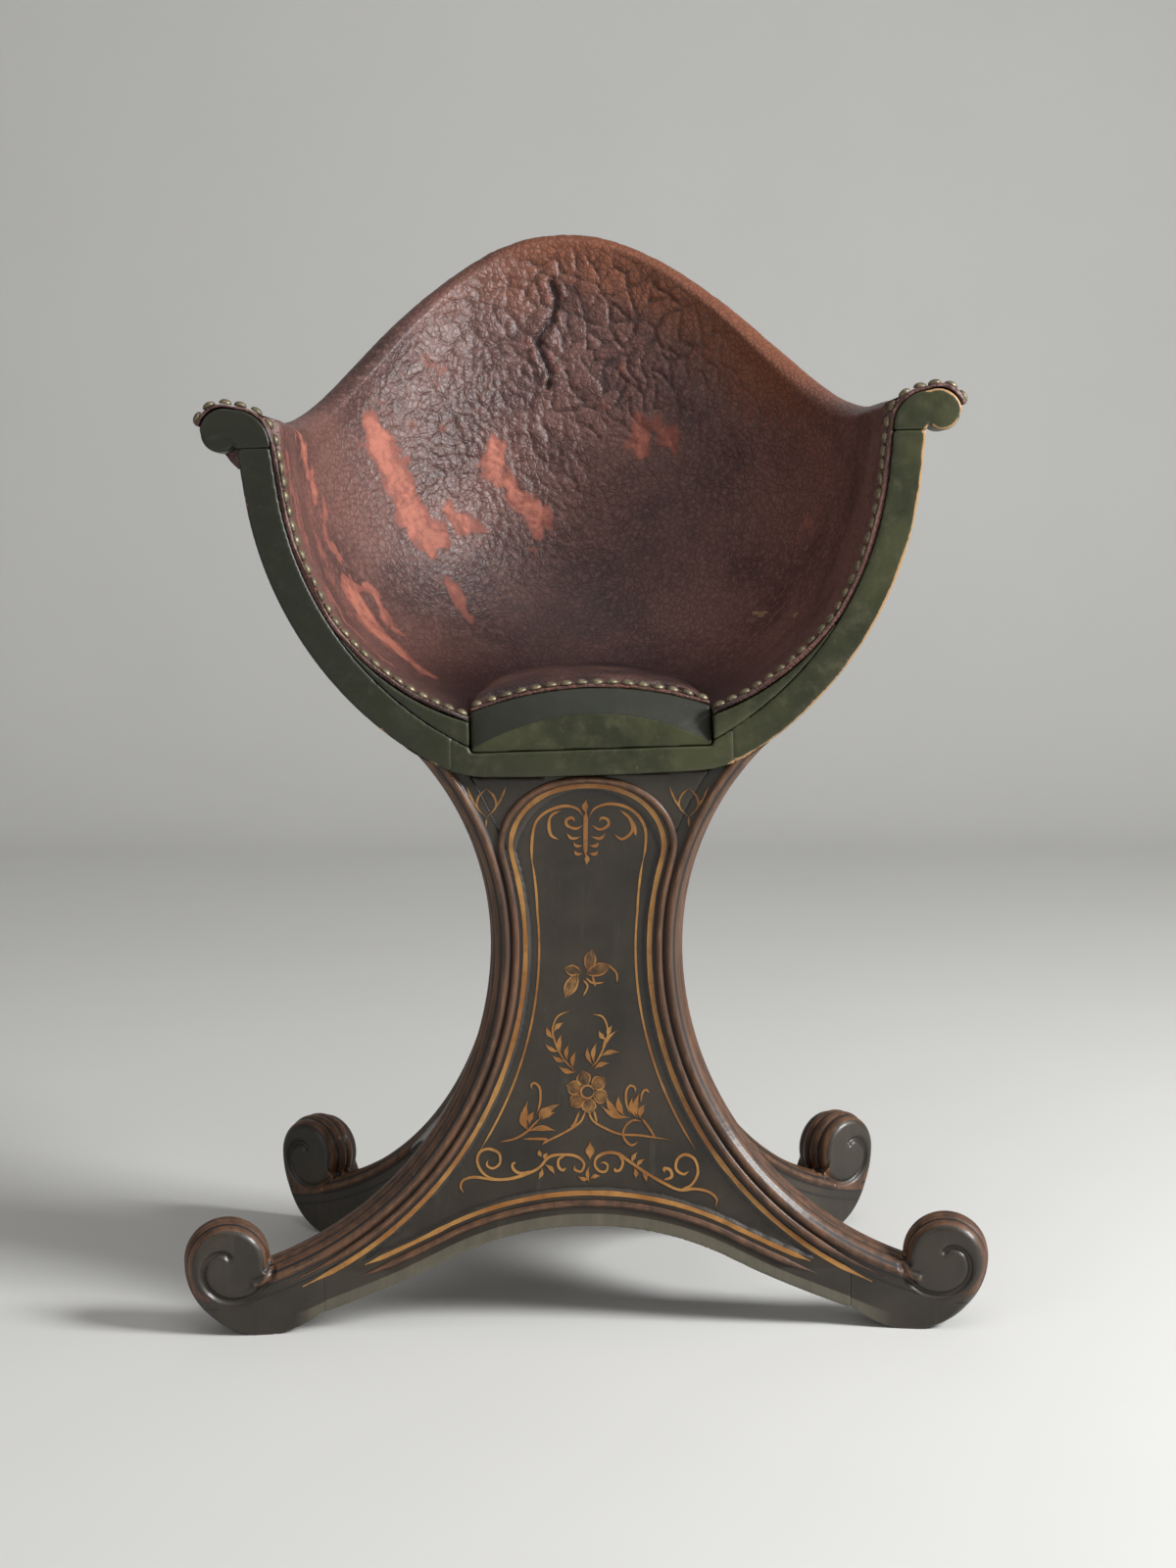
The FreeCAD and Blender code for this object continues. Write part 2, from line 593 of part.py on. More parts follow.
def make_rim_roll():
    wires = []
    shares = (0.0, 0.5, 1.0)
    start_y = HOOP_BACK_Y + SOFT_GAP
    for share in shares:
        wire = roll_section(share, RIGHT_EAR_ROLL)
        wire.translate(V(0, start_y + (APSE_Y - start_y) * share, 0))
        wires.append(wire)
    step = 90.0 / APSE_STAVES
    for index in range(1, 2 * APSE_STAVES):
        wire = apse_roll_section(index * step)
        wire.translate(V(0, APSE_Y, 0))
        wire.rotate(V(0, APSE_Y, 0), UP, index * step)
        wires.append(wire)
    for share in reversed(shares):
        wire = roll_section(share, LEFT_EAR_ROLL)
        wire.rotate(ORIGIN, UP, 180)
        wire.translate(V(0, start_y + (APSE_Y - start_y) * share, 0))
        wires.append(wire)
    return Part.makeLoft(wires, True, True)


def make_ear_leather():
    """Skin over the inside and top of an ear tip, down to the hook's end."""
    outside = trough_piece(ear_face(SOFT_GAP + EAR_SKIN), HOOP_Y + MARGIN_SETBACK, HOOP_BACK_Y)
    inside = trough_piece(ear_face(SOFT_GAP), HOOP_Y, HOOP_BACK_Y + SEAM)
    middle_x = wall_x(HOOP_INNER_R, EAR_JOINT_Z) + HOOP_RING / 3
    hook_z = EAR_JOINT_Z + EAR_RISE - EAR_HOOK
    below = box(middle_x, FAR, HOOP_Y, HOOP_BACK_Y + SEAM, 0, hook_z)
    return largest(outside.cut(inside).cut(below))


# Lift-out seat
def seat_arch(end_high, crown_high, y):
    """The arch over the seat's front rail, from its right end to its left one."""
    half = WELL_HALF - SEAT_GAP
    low = RAIL_TOP_Z + SEAT_LIFT_ROOM
    return arc(V(half, y, low + end_high), V(0, y, low + crown_high), V(-half, y, low + end_high))


def seat_rail_wire(end_high, crown_high, y):
    half = WELL_HALF - SEAT_GAP
    low = RAIL_TOP_Z + SEAT_LIFT_ROOM
    left = V(-half, y, low)
    arch = seat_arch(end_high, crown_high, y).discretize(CROWN_RUNS + 1)
    return Part.makePolygon([left, V(half, y, low)] + arch + [left])


def make_seat():
    front = HOOP_Y + SEAT_RAIL_BACKSET
    bevel_back = front + SEAT_BEVEL
    back = front + SEAT_RAIL_THICK
    low = RAIL_TOP_Z + SEAT_LIFT_ROOM
    half = WELL_HALF - SEAT_GAP
    full = seat_rail_wire(SEAT_END_HIGH, SEAT_CROWN_HIGH, bevel_back)
    bevel = faceted([seat_rail_wire(LUNETTE_END, LUNETTE_HIGH, front), full])
    rail = bevel.fuse(Part.Face(full).extrude(V(0, back - bevel_back, 0)))
    board_z = low + BATTEN_HIGH
    plank = box(-half, half, back, APSE_Y, board_z, board_z + SEAT_BOARD_THICK)
    plank_end = Part.makeCylinder(SEAT_BACK_R, SEAT_BOARD_THICK, V(0, APSE_Y, board_z), UP, 180)
    battens = []
    for batten_y in (back + BATTEN_WIDE, APSE_Y):
        reach = half - BATTEN_INSET
        battens.append(box(-reach, reach, batten_y, batten_y + BATTEN_WIDE, low, board_z))
    strip_low = seat_rail_wire(SEAT_END_HIGH + SOFT_GAP, SEAT_CROWN_HIGH + SOFT_GAP, bevel_back)
    strip_high = seat_rail_wire(
        SEAT_END_HIGH + SOFT_GAP + SEAT_STRIP_THICK, SEAT_CROWN_HIGH + SOFT_GAP + SEAT_STRIP_THICK, bevel_back
    )
    run = V(0, back - bevel_back, 0)
    strip = Part.Face(strip_high).extrude(run).cut(Part.Face(strip_low).extrude(run))
    return {
        "seat_front_rail": rail.removeSplitter(),
        "seat_board": plank.fuse(plank_end).removeSplitter(),
        "seat_battens": Part.makeCompound(battens),
        "seat_leather_strip": strip,
        "seat_pad": make_seat_pad(back + SOFT_GAP, board_z + SEAT_BOARD_THICK + SOFT_GAP, half),
    }


def pad_wire(half, y, low, edge_high, crown_high):
    foot = half - PAD_DRAW
    corners = [V(-foot, y, low), V(foot, y, low), V(half, y, low + edge_high), V(-half, y, low + edge_high)]
    crown = V(0, y, low + crown_high)
    return Part.makePolygon(corners[:2] + crown_points(corners[2], crown, corners[3]) + corners[:1])


def make_seat_pad(front, low, half):
    """Crowned pad: level with the strip at the front, fullest in the middle, rounded off behind."""
    front_edge = RAIL_TOP_Z + SEAT_LIFT_ROOM + SEAT_END_HIGH + SEAT_STRIP_THICK - low
    front_crown = RAIL_TOP_Z + SEAT_LIFT_ROOM + SEAT_CROWN_HIGH + SEAT_STRIP_THICK - low
    wires = [pad_wire(half, front, low, front_edge, front_crown)]
    wires.append(pad_wire(half, (front + APSE_Y) / 2, low, PAD_EDGE, PAD_CROWN))
    wires.append(pad_wire(half, APSE_Y, low, PAD_EDGE, PAD_CROWN))
    for turn_deg in PAD_TURNS_DEG:
        turn = math.radians(turn_deg)
        wide = SEAT_BACK_R * math.cos(turn)
        crown = PAD_EDGE + (PAD_CROWN - PAD_EDGE) * math.cos(turn)
        wires.append(pad_wire(wide, APSE_Y + SEAT_BACK_R * math.sin(turn), low, PAD_EDGE, crown))
    return faceted(wires)


# Nails, as low pointed heads
def nail(foot, outward):
    across = outward.cross(AXIS_Y)
    base = foot + outward * SOFT_GAP
    tip = base + outward * NAIL_HIGH
    ring = []
    for index in range(NAIL_SIDES):
        turn = 2 * math.pi * index / NAIL_SIDES
        ring.append(base + across * (NAIL_R * math.cos(turn)) + AXIS_Y * (NAIL_R * math.sin(turn)))
    faces = [Part.Face(Part.makePolygon(ring + ring[:1]))]
    for index in range(NAIL_SIDES):
        faces.append(triangle(ring[index - 1], ring[index], tip))
    return closed_solid(faces)


def nails_along(path, y, outward_of, first, last):
    """Nails along a front-view path, evenly spaced, with their heads turned towards the sitter."""
    count = max(1, int(round((path.Length - first - last) / NAIL_PITCH)))
    nails = []
    for index in range(count + 1):
        distance = first + (path.Length - first - last) * index / count
        parameter = path.getParameterByLength(distance)
        foot = path.valueAt(parameter)
        outward = outward_of(path.tangentAt(parameter))
        nails.append(nail(V(foot.x, y, foot.z), outward))
    return nails


def turned_left(tangent):
    return V(-tangent.z, 0, tangent.x)


def turned_right(tangent):
    return V(tangent.z, 0, -tangent.x)


def make_nails():
    y = HOOP_Y + MARGIN_SETBACK + NAIL_INSET
    low, middle, high = bearer_points(SOFT_GAP + LINING_THICK)
    high = wall_point(LINING_R, BEARER_TOP_Z + LINING_THICK)
    paths = [arc(low, middle, high)] + wall_edges(LINING_R, high.z, EAR_JOINT_Z)
    half = NAIL_PITCH / 2
    nails = []
    for path in paths:
        nails += nails_along(path, y, turned_left, half, half)
    ear_edges = ear_face(SOFT_GAP + EAR_SKIN).Edges
    ear_edges = sorted(ear_edges, key=lambda part: -part.CenterOfMass.z)[:2]
    for path in ear_edges:
        rising = path.valueAt(path.FirstParameter).x < path.valueAt(path.LastParameter).x
        nails += nails_along(path, y, turned_left if rising else turned_right, half, half)
    crown = SEAT_CROWN_HIGH + SOFT_GAP + SEAT_STRIP_THICK
    end = SEAT_END_HIGH + SOFT_GAP + SEAT_STRIP_THICK
    arch = seat_arch(end, crown, 0)
    seat_y = HOOP_Y + SEAT_RAIL_BACKSET + SEAT_BEVEL + NAIL_R
    seat_nails = nails_along(arch, seat_y, turned_right, half, half)
    return {
        "right_arm_nails": Part.makeCompound(nails),
        "left_arm_nails": Part.makeCompound([mirrored(part) for part in nails]),
        "seat_nails": Part.makeCompound(seat_nails),
    }


# Legs
def leg_section(plain):
    """Cross-section of a leg at the waist: reeds over the outer edge, two beads on the front face."""
    valley = -REED_HIGH - LEG_BARREL
    if plain:
        grow = SEAM
        return Part.makePolygon([
            V(-LEG_WIDE - grow, -LEG_WIDE, 0),
            V(LEG_WIDE, -LEG_WIDE, 0),
            V(LEG_WIDE, LEG_THICK + grow, 0),
            V(-LEG_WIDE - grow, LEG_THICK + grow, 0),
            V(-LEG_WIDE - grow, -LEG_WIDE, 0),
        ])
    points = [V(-LEG_WIDE, LEG_THICK, 0), V(-LEG_WIDE, 0, 0)]
    bead = valley - 2 * BEAD_WIDE
    for index in range(2):
        start = bead + index * BEAD_WIDE
        points.append(V(start, 0, 0))
        points.append(V(start + BEAD_WIDE / 2, -BEAD_HIGH, 0))
    points.append(V(valley, 0, 0))
    points += reed_points(-REED_HIGH, LEG_BARREL, REED_FLAT)
    points.append(V(valley, LEG_THICK, 0))
    points.append(points[0])
    return Part.makePolygon(points)


def reed_points(valley, barrel, flat):
    """Reeds across the leg's thickness, from the front face to the back one, over a swelling edge."""
    pitch = LEG_THICK / REEDS
    points = []
    for index in range(REEDS):
        middle = (index + 0.5) * pitch
        if index:
            points.append(reed_point(valley, index * pitch, barrel))
        points.append(reed_point(valley + REED_HIGH, middle - pitch * flat / 2, barrel))
        if flat:
            points.append(reed_point(valley + REED_HIGH, middle + pitch * flat / 2, barrel))
    return points


def reed_point(reach, v, barrel):
    off_centre = 2 * v / LEG_THICK - 1
    return V(reach - barrel * off_centre ** 2, v, 0)


def leg_sweep(section, radius, turn_deg, steps):
    wires = []
    for index in range(steps + 1):
        placed = section.copy()
        placed.translate(V(0, 0, WAIST_Z))
        placed.rotate(V(radius, 0, WAIST_Z), AXIS_Y, turn_deg * index / steps)
        wires.append(placed)
    return Part.makeLoft(wires, True, True)


def reeded_disc(radius, barrel, u, z, sides):
    """The foot's roll, cut round in flats and reeded over its swelling rim."""
    face_r = radius - REED_HIGH - barrel
    profile = [V(face_r, 0, 0)] + reed_points(radius - REED_HIGH, barrel, 0.0) + [V(face_r, LEG_THICK, 0)]
    wires = []
    for point in profile:
        ring = []
        for index in range(sides + 1):
            turn = 2 * math.pi * (index + 0.5) / sides
            ring.append(V(u + point.x * math.cos(turn), point.y, z + point.x * math.sin(turn)))
        wires.append(Part.makePolygon(ring))
    return Part.makeLoft(wires, True, True)


def band_z(radius, u):
    """Height of the leg's outer edge (or an edge parallel to it) at u, below the waist."""
    return WAIST_Z - math.sqrt(radius ** 2 - (LOWER_R - u) ** 2)


def toe_face(eye_z, back):
    eye_low = V(TOE_U, 0, 0)
    sole = V(TOE_U - SOLE_FLAT, 0, 0)
    rise = V((sole.x + back.x) / 2, 0, back.z / 3)
    mid_r = LOWER_R + LEG_WIDE / 2
    shoulder_u = EYE_U - ROLL_R + NOTCH_R
    edges = [
        edge(eye_low, sole),
        arc(sole, rise, back),
        edge(back, V(back.x, 0, band_z(mid_r, back.x))),
        edge(V(back.x, 0, band_z(mid_r, back.x)), V(shoulder_u, 0, band_z(mid_r, shoulder_u))),
        edge(V(shoulder_u, 0, band_z(mid_r, shoulder_u)), V(TOE_U, 0, eye_z)),
        edge(V(TOE_U, 0, eye_z), eye_low),
    ]
    return face_of(edges)


def spiral_cutter(eye_z):
    """The spiral groove on the roll's front face: two half turns that close in on the eye."""
    notch = V(EYE_U - ROLL_R, 0, eye_z + NOTCH_R / 2)
    half_wide = SPIRAL_WIDE / 2
    eye = V(EYE_U - ROLL_R * SPIRAL_EYE, 0, eye_z)
    turn_end = V(EYE_U + ROLL_R * SPIRAL_TURN, 0, eye_z)
    parts = []
    outer_r = (turn_end.x - notch.x) / 2
    outer_c = V((turn_end.x + notch.x) / 2, 0, eye_z)
    inner_r = (turn_end.x - eye.x) / 2
    inner_c = V((turn_end.x + eye.x) / 2, 0, eye_z)
    for centre, radius, below in ((outer_c, outer_r, True), (inner_c, inner_r, False)):
        ring = Part.makeCylinder(radius + half_wide, SPIRAL_DEEP, centre, AXIS_Y)
        ring = ring.cut(Part.makeCylinder(radius - half_wide, SPIRAL_DEEP, centre, AXIS_Y))
        z_from = eye_z - ROLL_R * 2 if below else eye_z
        half_space = box(0, FAR, -SPIRAL_DEEP, 2 * SPIRAL_DEEP, z_from, z_from + ROLL_R * 2)
        parts.append(ring.common(half_space))
    return parts[0].fuse(parts[1])


def make_leg(eye_z, heel):
    section = leg_section(False)
    upper = leg_sweep(section, UPPER_R, UPPER_TURN_DEG, UPPER_STEPS)
    lower = leg_sweep(section, LOWER_R, -LOWER_TURN_DEG, LOWER_STEPS)
    roll = reeded_disc(ROLL_R, ROLL_BARREL, EYE_U, eye_z, ROLL_SIDES)
    toe_r = EYE_U + ROLL_R - TOE_U
    quarter = reeded_disc(toe_r, LEG_BARREL, TOE_U, toe_r - FOOT_FLAT, 2 * ROLL_SIDES)
    quarter = quarter.common(box(TOE_U, FAR, 0, LEG_THICK, -FAR, toe_r - FOOT_FLAT))
    toe = toe_face(eye_z, heel).extrude(V(0, LEG_THICK, 0))
    leg = upper.multiFuse([lower, roll, quarter, toe])
    notch_u = EYE_U - ROLL_R - NOTCH_R / 2
    notch = Part.makeCylinder(NOTCH_R, LEG_THICK * 2, V(notch_u, -LEG_THICK / 2, eye_z + 2 * NOTCH_R), AXIS_Y)
    ground = box(-FAR, FAR, -FAR, FAR, -FAR, 0)
    leg = leg.cut(notch).cut(ground)
    return largest(leg.cut(spiral_cutter(eye_z)))


def make_leg_blank():
    """The space a leg takes, a seam larger, for cutting what is fitted between the legs."""
    section = leg_section(True)
    upper = leg_sweep(section, UPPER_R, UPPER_TURN_DEG, UPPER_STEPS)
    lower = leg_sweep(section, LOWER_R, -LOWER_TURN_DEG, LOWER_STEPS)
    toe = box(TOE_BACK_U - SEAM, EYE_U + FAR / 4, -LEG_WIDE, LEG_THICK + SEAM, -ARCH_BELOW, FRONT_EYE_Z)
    return upper.multiFuse([lower, toe])


def at_front(shape):
    placed = shape.copy()
    placed.rotate(ORIGIN, UP, -FRONT_LEG_DEG)
    placed.translate(V(FRONT_LEG_X, FRONT_LEG_Y, 0))
    return placed


def at_rear(shape):
    placed = shape.copy()
    placed.rotate(ORIGIN, UP, REAR_LEG_DEG)
    placed.translate(V(REAR_LEG_X, REAR_LEG_Y, 0))
    return placed


# Pedestal boards
def edge_u(inset, z):
    """How far out a curve lies that runs inset inside the leg's outer edge, at height z."""
    if z > WAIST_Z:
        radius = UPPER_R + inset
        return UPPER_R - math.sqrt(radius ** 2 - (z - WAIST_Z) ** 2)
    radius = LOWER_R + inset
    return LOWER_R - math.sqrt(radius ** 2 - (z - WAIST_Z) ** 2)


def front_y(z):
    """The front board's face lies flush with the legs' front faces along their inner edges."""
    low = band_z(LOWER_R + LEG_WIDE, TOE_BACK_U)
    return FRONT_LEG_Y - edge_u(LEG_WIDE, max(z, low)) * math.sin(math.radians(FRONT_LEG_DEG))


def front_layer(depth_from, depth_to):
    """A layer of the front board between two depths, wide enough to be cut to its outline."""
    low = band_z(LOWER_R + LEG_WIDE, TOE_BACK_U)
    heights = [0.0] + [low + (RAIL_TOP_Z - low) * index / BOARD_STEPS for index in range(BOARD_STEPS + 1)]
    points = [V(-FAR, front_y(z) + depth_from, z) for z in heights]
    points += [V(-FAR, front_y(z) + depth_to, z) for z in reversed(heights)]
    points.append(points[0])
    return Part.Face(Part.makePolygon(points)).extrude(V(2 * FAR, 0, 0))


def arch_outline(lift):
    """The front board's lower edge in front view: a low arch that sweeps out into the feet."""
    knee = V(ARCH_KNEE_X, 0, ARCH_KNEE_Z + lift)
    toe = V(ARCH_TOE_X, 0, lift - ARCH_BELOW)
    swing = V((ARCH_KNEE_X + ARCH_TOE_X) / 2, 0, (knee.z + toe.z) / 2 - ARCH_SWING)
    crown = V(0, 0, ARCH_HIGH + lift)
    return [arc(mirrored_point(knee), crown, knee), arc(knee, swing, toe)]


def mirrored_point(point):
    return V(-point.x, point.y, point.z)


def arch_space(lift):
    crown, right = arch_outline(lift)
    toe = V(ARCH_TOE_X, 0, lift - ARCH_BELOW)
    floor_right = V(ARCH_TOE_X, 0, -FAR)
    floor_left = mirrored_point(floor_right)
    edges = [crown, right, mirrored(right)]
    edges += [edge(toe, floor_right), edge(floor_right, floor_left), edge(floor_left, mirrored_point(toe))]
    return trough_piece(face_of(edges), HOOP_Y - FAR, HOOP_Y + FAR)


def field_tool():
    """The sunk field of the front board: round head, sides beside the legs, foot along the arch."""
    half = FRONT_LEG_X + edge_u(LEG_WIDE + FIELD_EDGE, FIELD_SPRING_Z) * math.cos(math.radians(FRONT_LEG_DEG))
    spring = V(half, 0, FIELD_SPRING_Z)
    head = arc(spring, V(0, 0, FIELD_HEAD_Z), mirrored_point(spring))
    points = []
    for index in range(BOARD_STEPS + 1):
        z = FIELD_SPRING_Z - (FIELD_SPRING_Z - FRONT_EYE_Z) * index / BOARD_STEPS
        u = edge_u(LEG_WIDE + FIELD_EDGE, z)
        points.append(V(FRONT_LEG_X + u * math.cos(math.radians(FRONT_LEG_DEG)), 0, z))
    low = points[-1]
    edges = [head, edge(low, mirrored_point(low))]
    for start, end in zip(points, points[1:]):
        edges += [edge(start, end), edge(mirrored_point(start), mirrored_point(end))]
    prism = trough_piece(face_of(edges), HOOP_Y - FAR, HOOP_Y + FAR)
    return prism.cut(arch_space(FIELD_FOOT))


def make_front_panel(blanks, shell_space):
    board = front_layer(0.0, PANEL_THICK).cut(arch_space(0.0)).cut(shell_space)
    for blank in blanks:
        board = board.cut(blank)
    middle = box(-ARCH_TOE_X, ARCH_TOE_X, HOOP_Y - FAR, HOOP_Y + FAR, 0, FAR * 2)
    board = largest(board.common(middle))
    sunk = front_layer(-FIELD_SUNK, FIELD_SUNK).common(field_tool())
    return largest(board.cut(sunk))


def strip_wire(inset, thick, end_u, v):
    """A board's section in a leg's plane: two parallel sweeps, inset from the leg's outer edge."""
    points = []
    top_z = RAIL_TOP_Z + RAIL_HIGH
    for extra in (inset, inset + thick):
        lower = LOWER_R + extra
        end_z = WAIST_Z - math.sqrt(lower ** 2 - (LOWER_R - end_u) ** 2)
        run = [end_z + (top_z - end_z) * index / BOARD_STEPS for index in range(BOARD_STEPS + 1)]
        side = [V(edge_u(extra, z), v, z) for z in run]
        points += side if not points else side[::-1]
    return Part.makePolygon(points + points[:1])


def make_side_panel():
    near = at_front(strip_wire(SIDE_INSET, SIDE_THICK, SIDE_END_U, LEG_THICK + SEAM))
    far = at_rear(strip_wire(SIDE_INSET, SIDE_THICK, SIDE_END_U, -BEAD_HIGH - SEAM))
    board = faceted([near, far])
    half = (far.BoundBox.YMax - near.BoundBox.YMin) / 2
    middle_y = (far.BoundBox.YMax + near.BoundBox.YMin) / 2
    foot_z = near.BoundBox.ZMin
    radius = (half ** 2 + SIDE_ARCH_RISE ** 2) / (2 * SIDE_ARCH_RISE)
    centre = V(0, middle_y, foot_z + SIDE_ARCH_RISE - radius)
    return largest(board.cut(Part.makeCylinder(radius, FAR, centre, V(1, 0, 0))))


def make_rear_panel():
    near = at_rear(strip_wire(REAR_INSET, SIDE_THICK, REAR_END_U, LEG_THICK + SEAM))
    leg_space = at_rear(box(-FAR, FAR, -FAR, LEG_THICK + SEAM, -FAR, 2 * FAR))
    board = Part.Face(near).extrude(V(-2 * near.BoundBox.XMax, 0, 0)).cut(mirrored(leg_space))
    half = near.BoundBox.XMax
    foot_z = near.BoundBox.ZMin
    radius = (half ** 2 + REAR_ARCH_RISE ** 2) / (2 * REAR_ARCH_RISE)
    centre = V(0, APSE_Y - FAR, foot_z + REAR_ARCH_RISE - radius)
    return largest(board.cut(Part.makeCylinder(radius, 2 * FAR, centre, AXIS_Y)))


def make_pedestal():
    front = make_leg(FRONT_EYE_Z, V(TOE_BACK_U, 0, TOE_BACK_Z))
    rear = make_leg(REAR_EYE_Z, V(HEEL_U, 0, band_z(LOWER_R + LEG_WIDE, HEEL_U)))
    blank = make_leg_blank()
    shell_space = settled(hoop_prism(SEAM, HOOP_Y - FAR, HOOP_Y + FAR))
    mirrored_space = mirrored(shell_space)
    blanks = [at_front(blank), mirrored(at_front(blank)), at_rear(blank), mirrored(at_rear(blank))]
    pieces = {
        "front_right_leg": at_front(front).cut(shell_space),
        "front_left_leg": mirrored(at_front(front).cut(mirrored_space)),
        "rear_right_leg": at_rear(rear).cut(shell_space),
        "rear_left_leg": mirrored(at_rear(rear).cut(mirrored_space)),
        "front_panel": make_front_panel(blanks[:2], shell_space),
        "rear_panel": make_rear_panel().cut(shell_space),
        "right_side_panel": make_side_panel().cut(shell_space),
        "left_side_panel": mirrored(make_side_panel().cut(mirrored_space)),
    }
    pieces.update(make_blocks(blanks, pieces, shell_space))
    return pieces


def make_blocks(blanks, boards, shell_space):
    """Blocks scribed between legs and boards: one under the shell, one at the waist."""
    y_from = FRONT_LEG_Y
    y_to = REAR_LEG_Y + LEG_THICK
    top = RAIL_LOW_Z + RAIL_HIGH
    upper = box(-BLOCK_HALF, BLOCK_HALF, y_from, y_to, RAIL_LOW_Z - UPPER_BLOCK_HIGH, top).cut(shell_space)
    waist = box(
        -BLOCK_HALF, BLOCK_HALF, y_from, y_to, WAIST_Z - WAIST_BLOCK_HIGH / 2, WAIST_Z + WAIST_BLOCK_HIGH / 2
    )
    blocks = []
    for block in (upper, waist):
        for blank in blanks:
            block = block.cut(blank)
        for name in ("front_panel", "rear_panel", "right_side_panel", "left_side_panel"):
            block = block.cut(boards[name])
        blocks.append(largest(block))
    return {"upper_block": blocks[0], "waist_block": blocks[1]}


def main():
    os.makedirs("parts", exist_ok=True)
    for name, shape in make_pedestal().items():
        save(name, shape)
    ear_leather = make_ear_leather()
    shell = {}
    shell.update(make_hoop())
    shell.update(make_bearers())
    shell.update(make_shell())
    shell["leather_lining"] = make_lining()
    shell["rim_roll"] = make_rim_roll()
    shell["right_ear_leather"] = ear_leather
    shell["left_ear_leather"] = mirrored(ear_leather)
    shell.update(make_nails())
    shell.update(make_seat())
    for name, shape in shell.items():
        save(name, settled(shape))


main()
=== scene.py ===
# %% [markdown]
# # A gondola chair
# The chair is an old wooden bucket lined with one skin of oxblood leather. It stands on a dark lacquered
# pedestal with four reeded legs that end in scrolls. The solids come from the CAD model and are the fixed
# frame here. This lesson gives them their finishes, and makes anew what is soft, carved or painted.

# %% Load the frame
import math

import bmesh
import bpy
import numpy as np
from mathutils import Matrix, Vector, kdtree
from mathutils.bvhtree import BVHTree


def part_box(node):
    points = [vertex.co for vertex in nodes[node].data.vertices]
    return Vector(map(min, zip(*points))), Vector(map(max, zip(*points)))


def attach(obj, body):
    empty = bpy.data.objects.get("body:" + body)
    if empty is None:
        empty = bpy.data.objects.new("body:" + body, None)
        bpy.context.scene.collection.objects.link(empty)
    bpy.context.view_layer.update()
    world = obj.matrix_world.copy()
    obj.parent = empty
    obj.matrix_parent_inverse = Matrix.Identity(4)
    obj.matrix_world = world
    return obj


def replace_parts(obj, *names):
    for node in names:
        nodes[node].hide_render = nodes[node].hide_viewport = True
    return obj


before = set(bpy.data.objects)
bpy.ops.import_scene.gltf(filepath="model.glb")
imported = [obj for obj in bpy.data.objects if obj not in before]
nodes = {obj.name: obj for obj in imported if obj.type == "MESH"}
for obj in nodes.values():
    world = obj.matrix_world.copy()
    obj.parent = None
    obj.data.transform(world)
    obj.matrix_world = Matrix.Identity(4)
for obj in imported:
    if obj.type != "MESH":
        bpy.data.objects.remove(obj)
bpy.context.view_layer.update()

# %% [markdown]
# ## Camera
# The picture was taken from a little above the seat, looking slightly down and a touch from the sitter's
# right. A lens could be guessed by eye; this one was fitted to the feet, the ears and the crest, so that
# the pieces fall where they are seen.

# %% Camera
HOOP_Y = -0.1975
CAMERA_BACK = 1.7252
CAMERA_ASIDE = -0.0512
CAMERA_HIGH = 0.56
CAMERA_DOWN_DEG = 5.5
CAMERA_TURN_DEG = -1.7
LENS_MM = 56.25

lens = bpy.data.cameras.new("camera")
lens.sensor_fit = "AUTO"
lens.lens = LENS_MM
lens.clip_end = 50.0
camera = bpy.data.objects.new("camera", lens)
camera.location = (CAMERA_ASIDE, HOOP_Y - CAMERA_BACK, CAMERA_HIGH)
camera.rotation_euler = (math.radians(90 - CAMERA_DOWN_DEG), 0, math.radians(CAMERA_TURN_DEG))
bpy.context.scene.collection.objects.link(camera)
bpy.context.scene.camera = camera
print("camera", [round(v, 3) for v in camera.location], "lens", LENS_MM)

# %% [markdown]
# ## Shader maths as Python
# A finish is a net of small nodes. Wiring each by hand is long and hard to read, so one class wraps a socket
# and lets `1 - mask` or `mask * 0.5` add the nodes. Every other node comes from its one method.

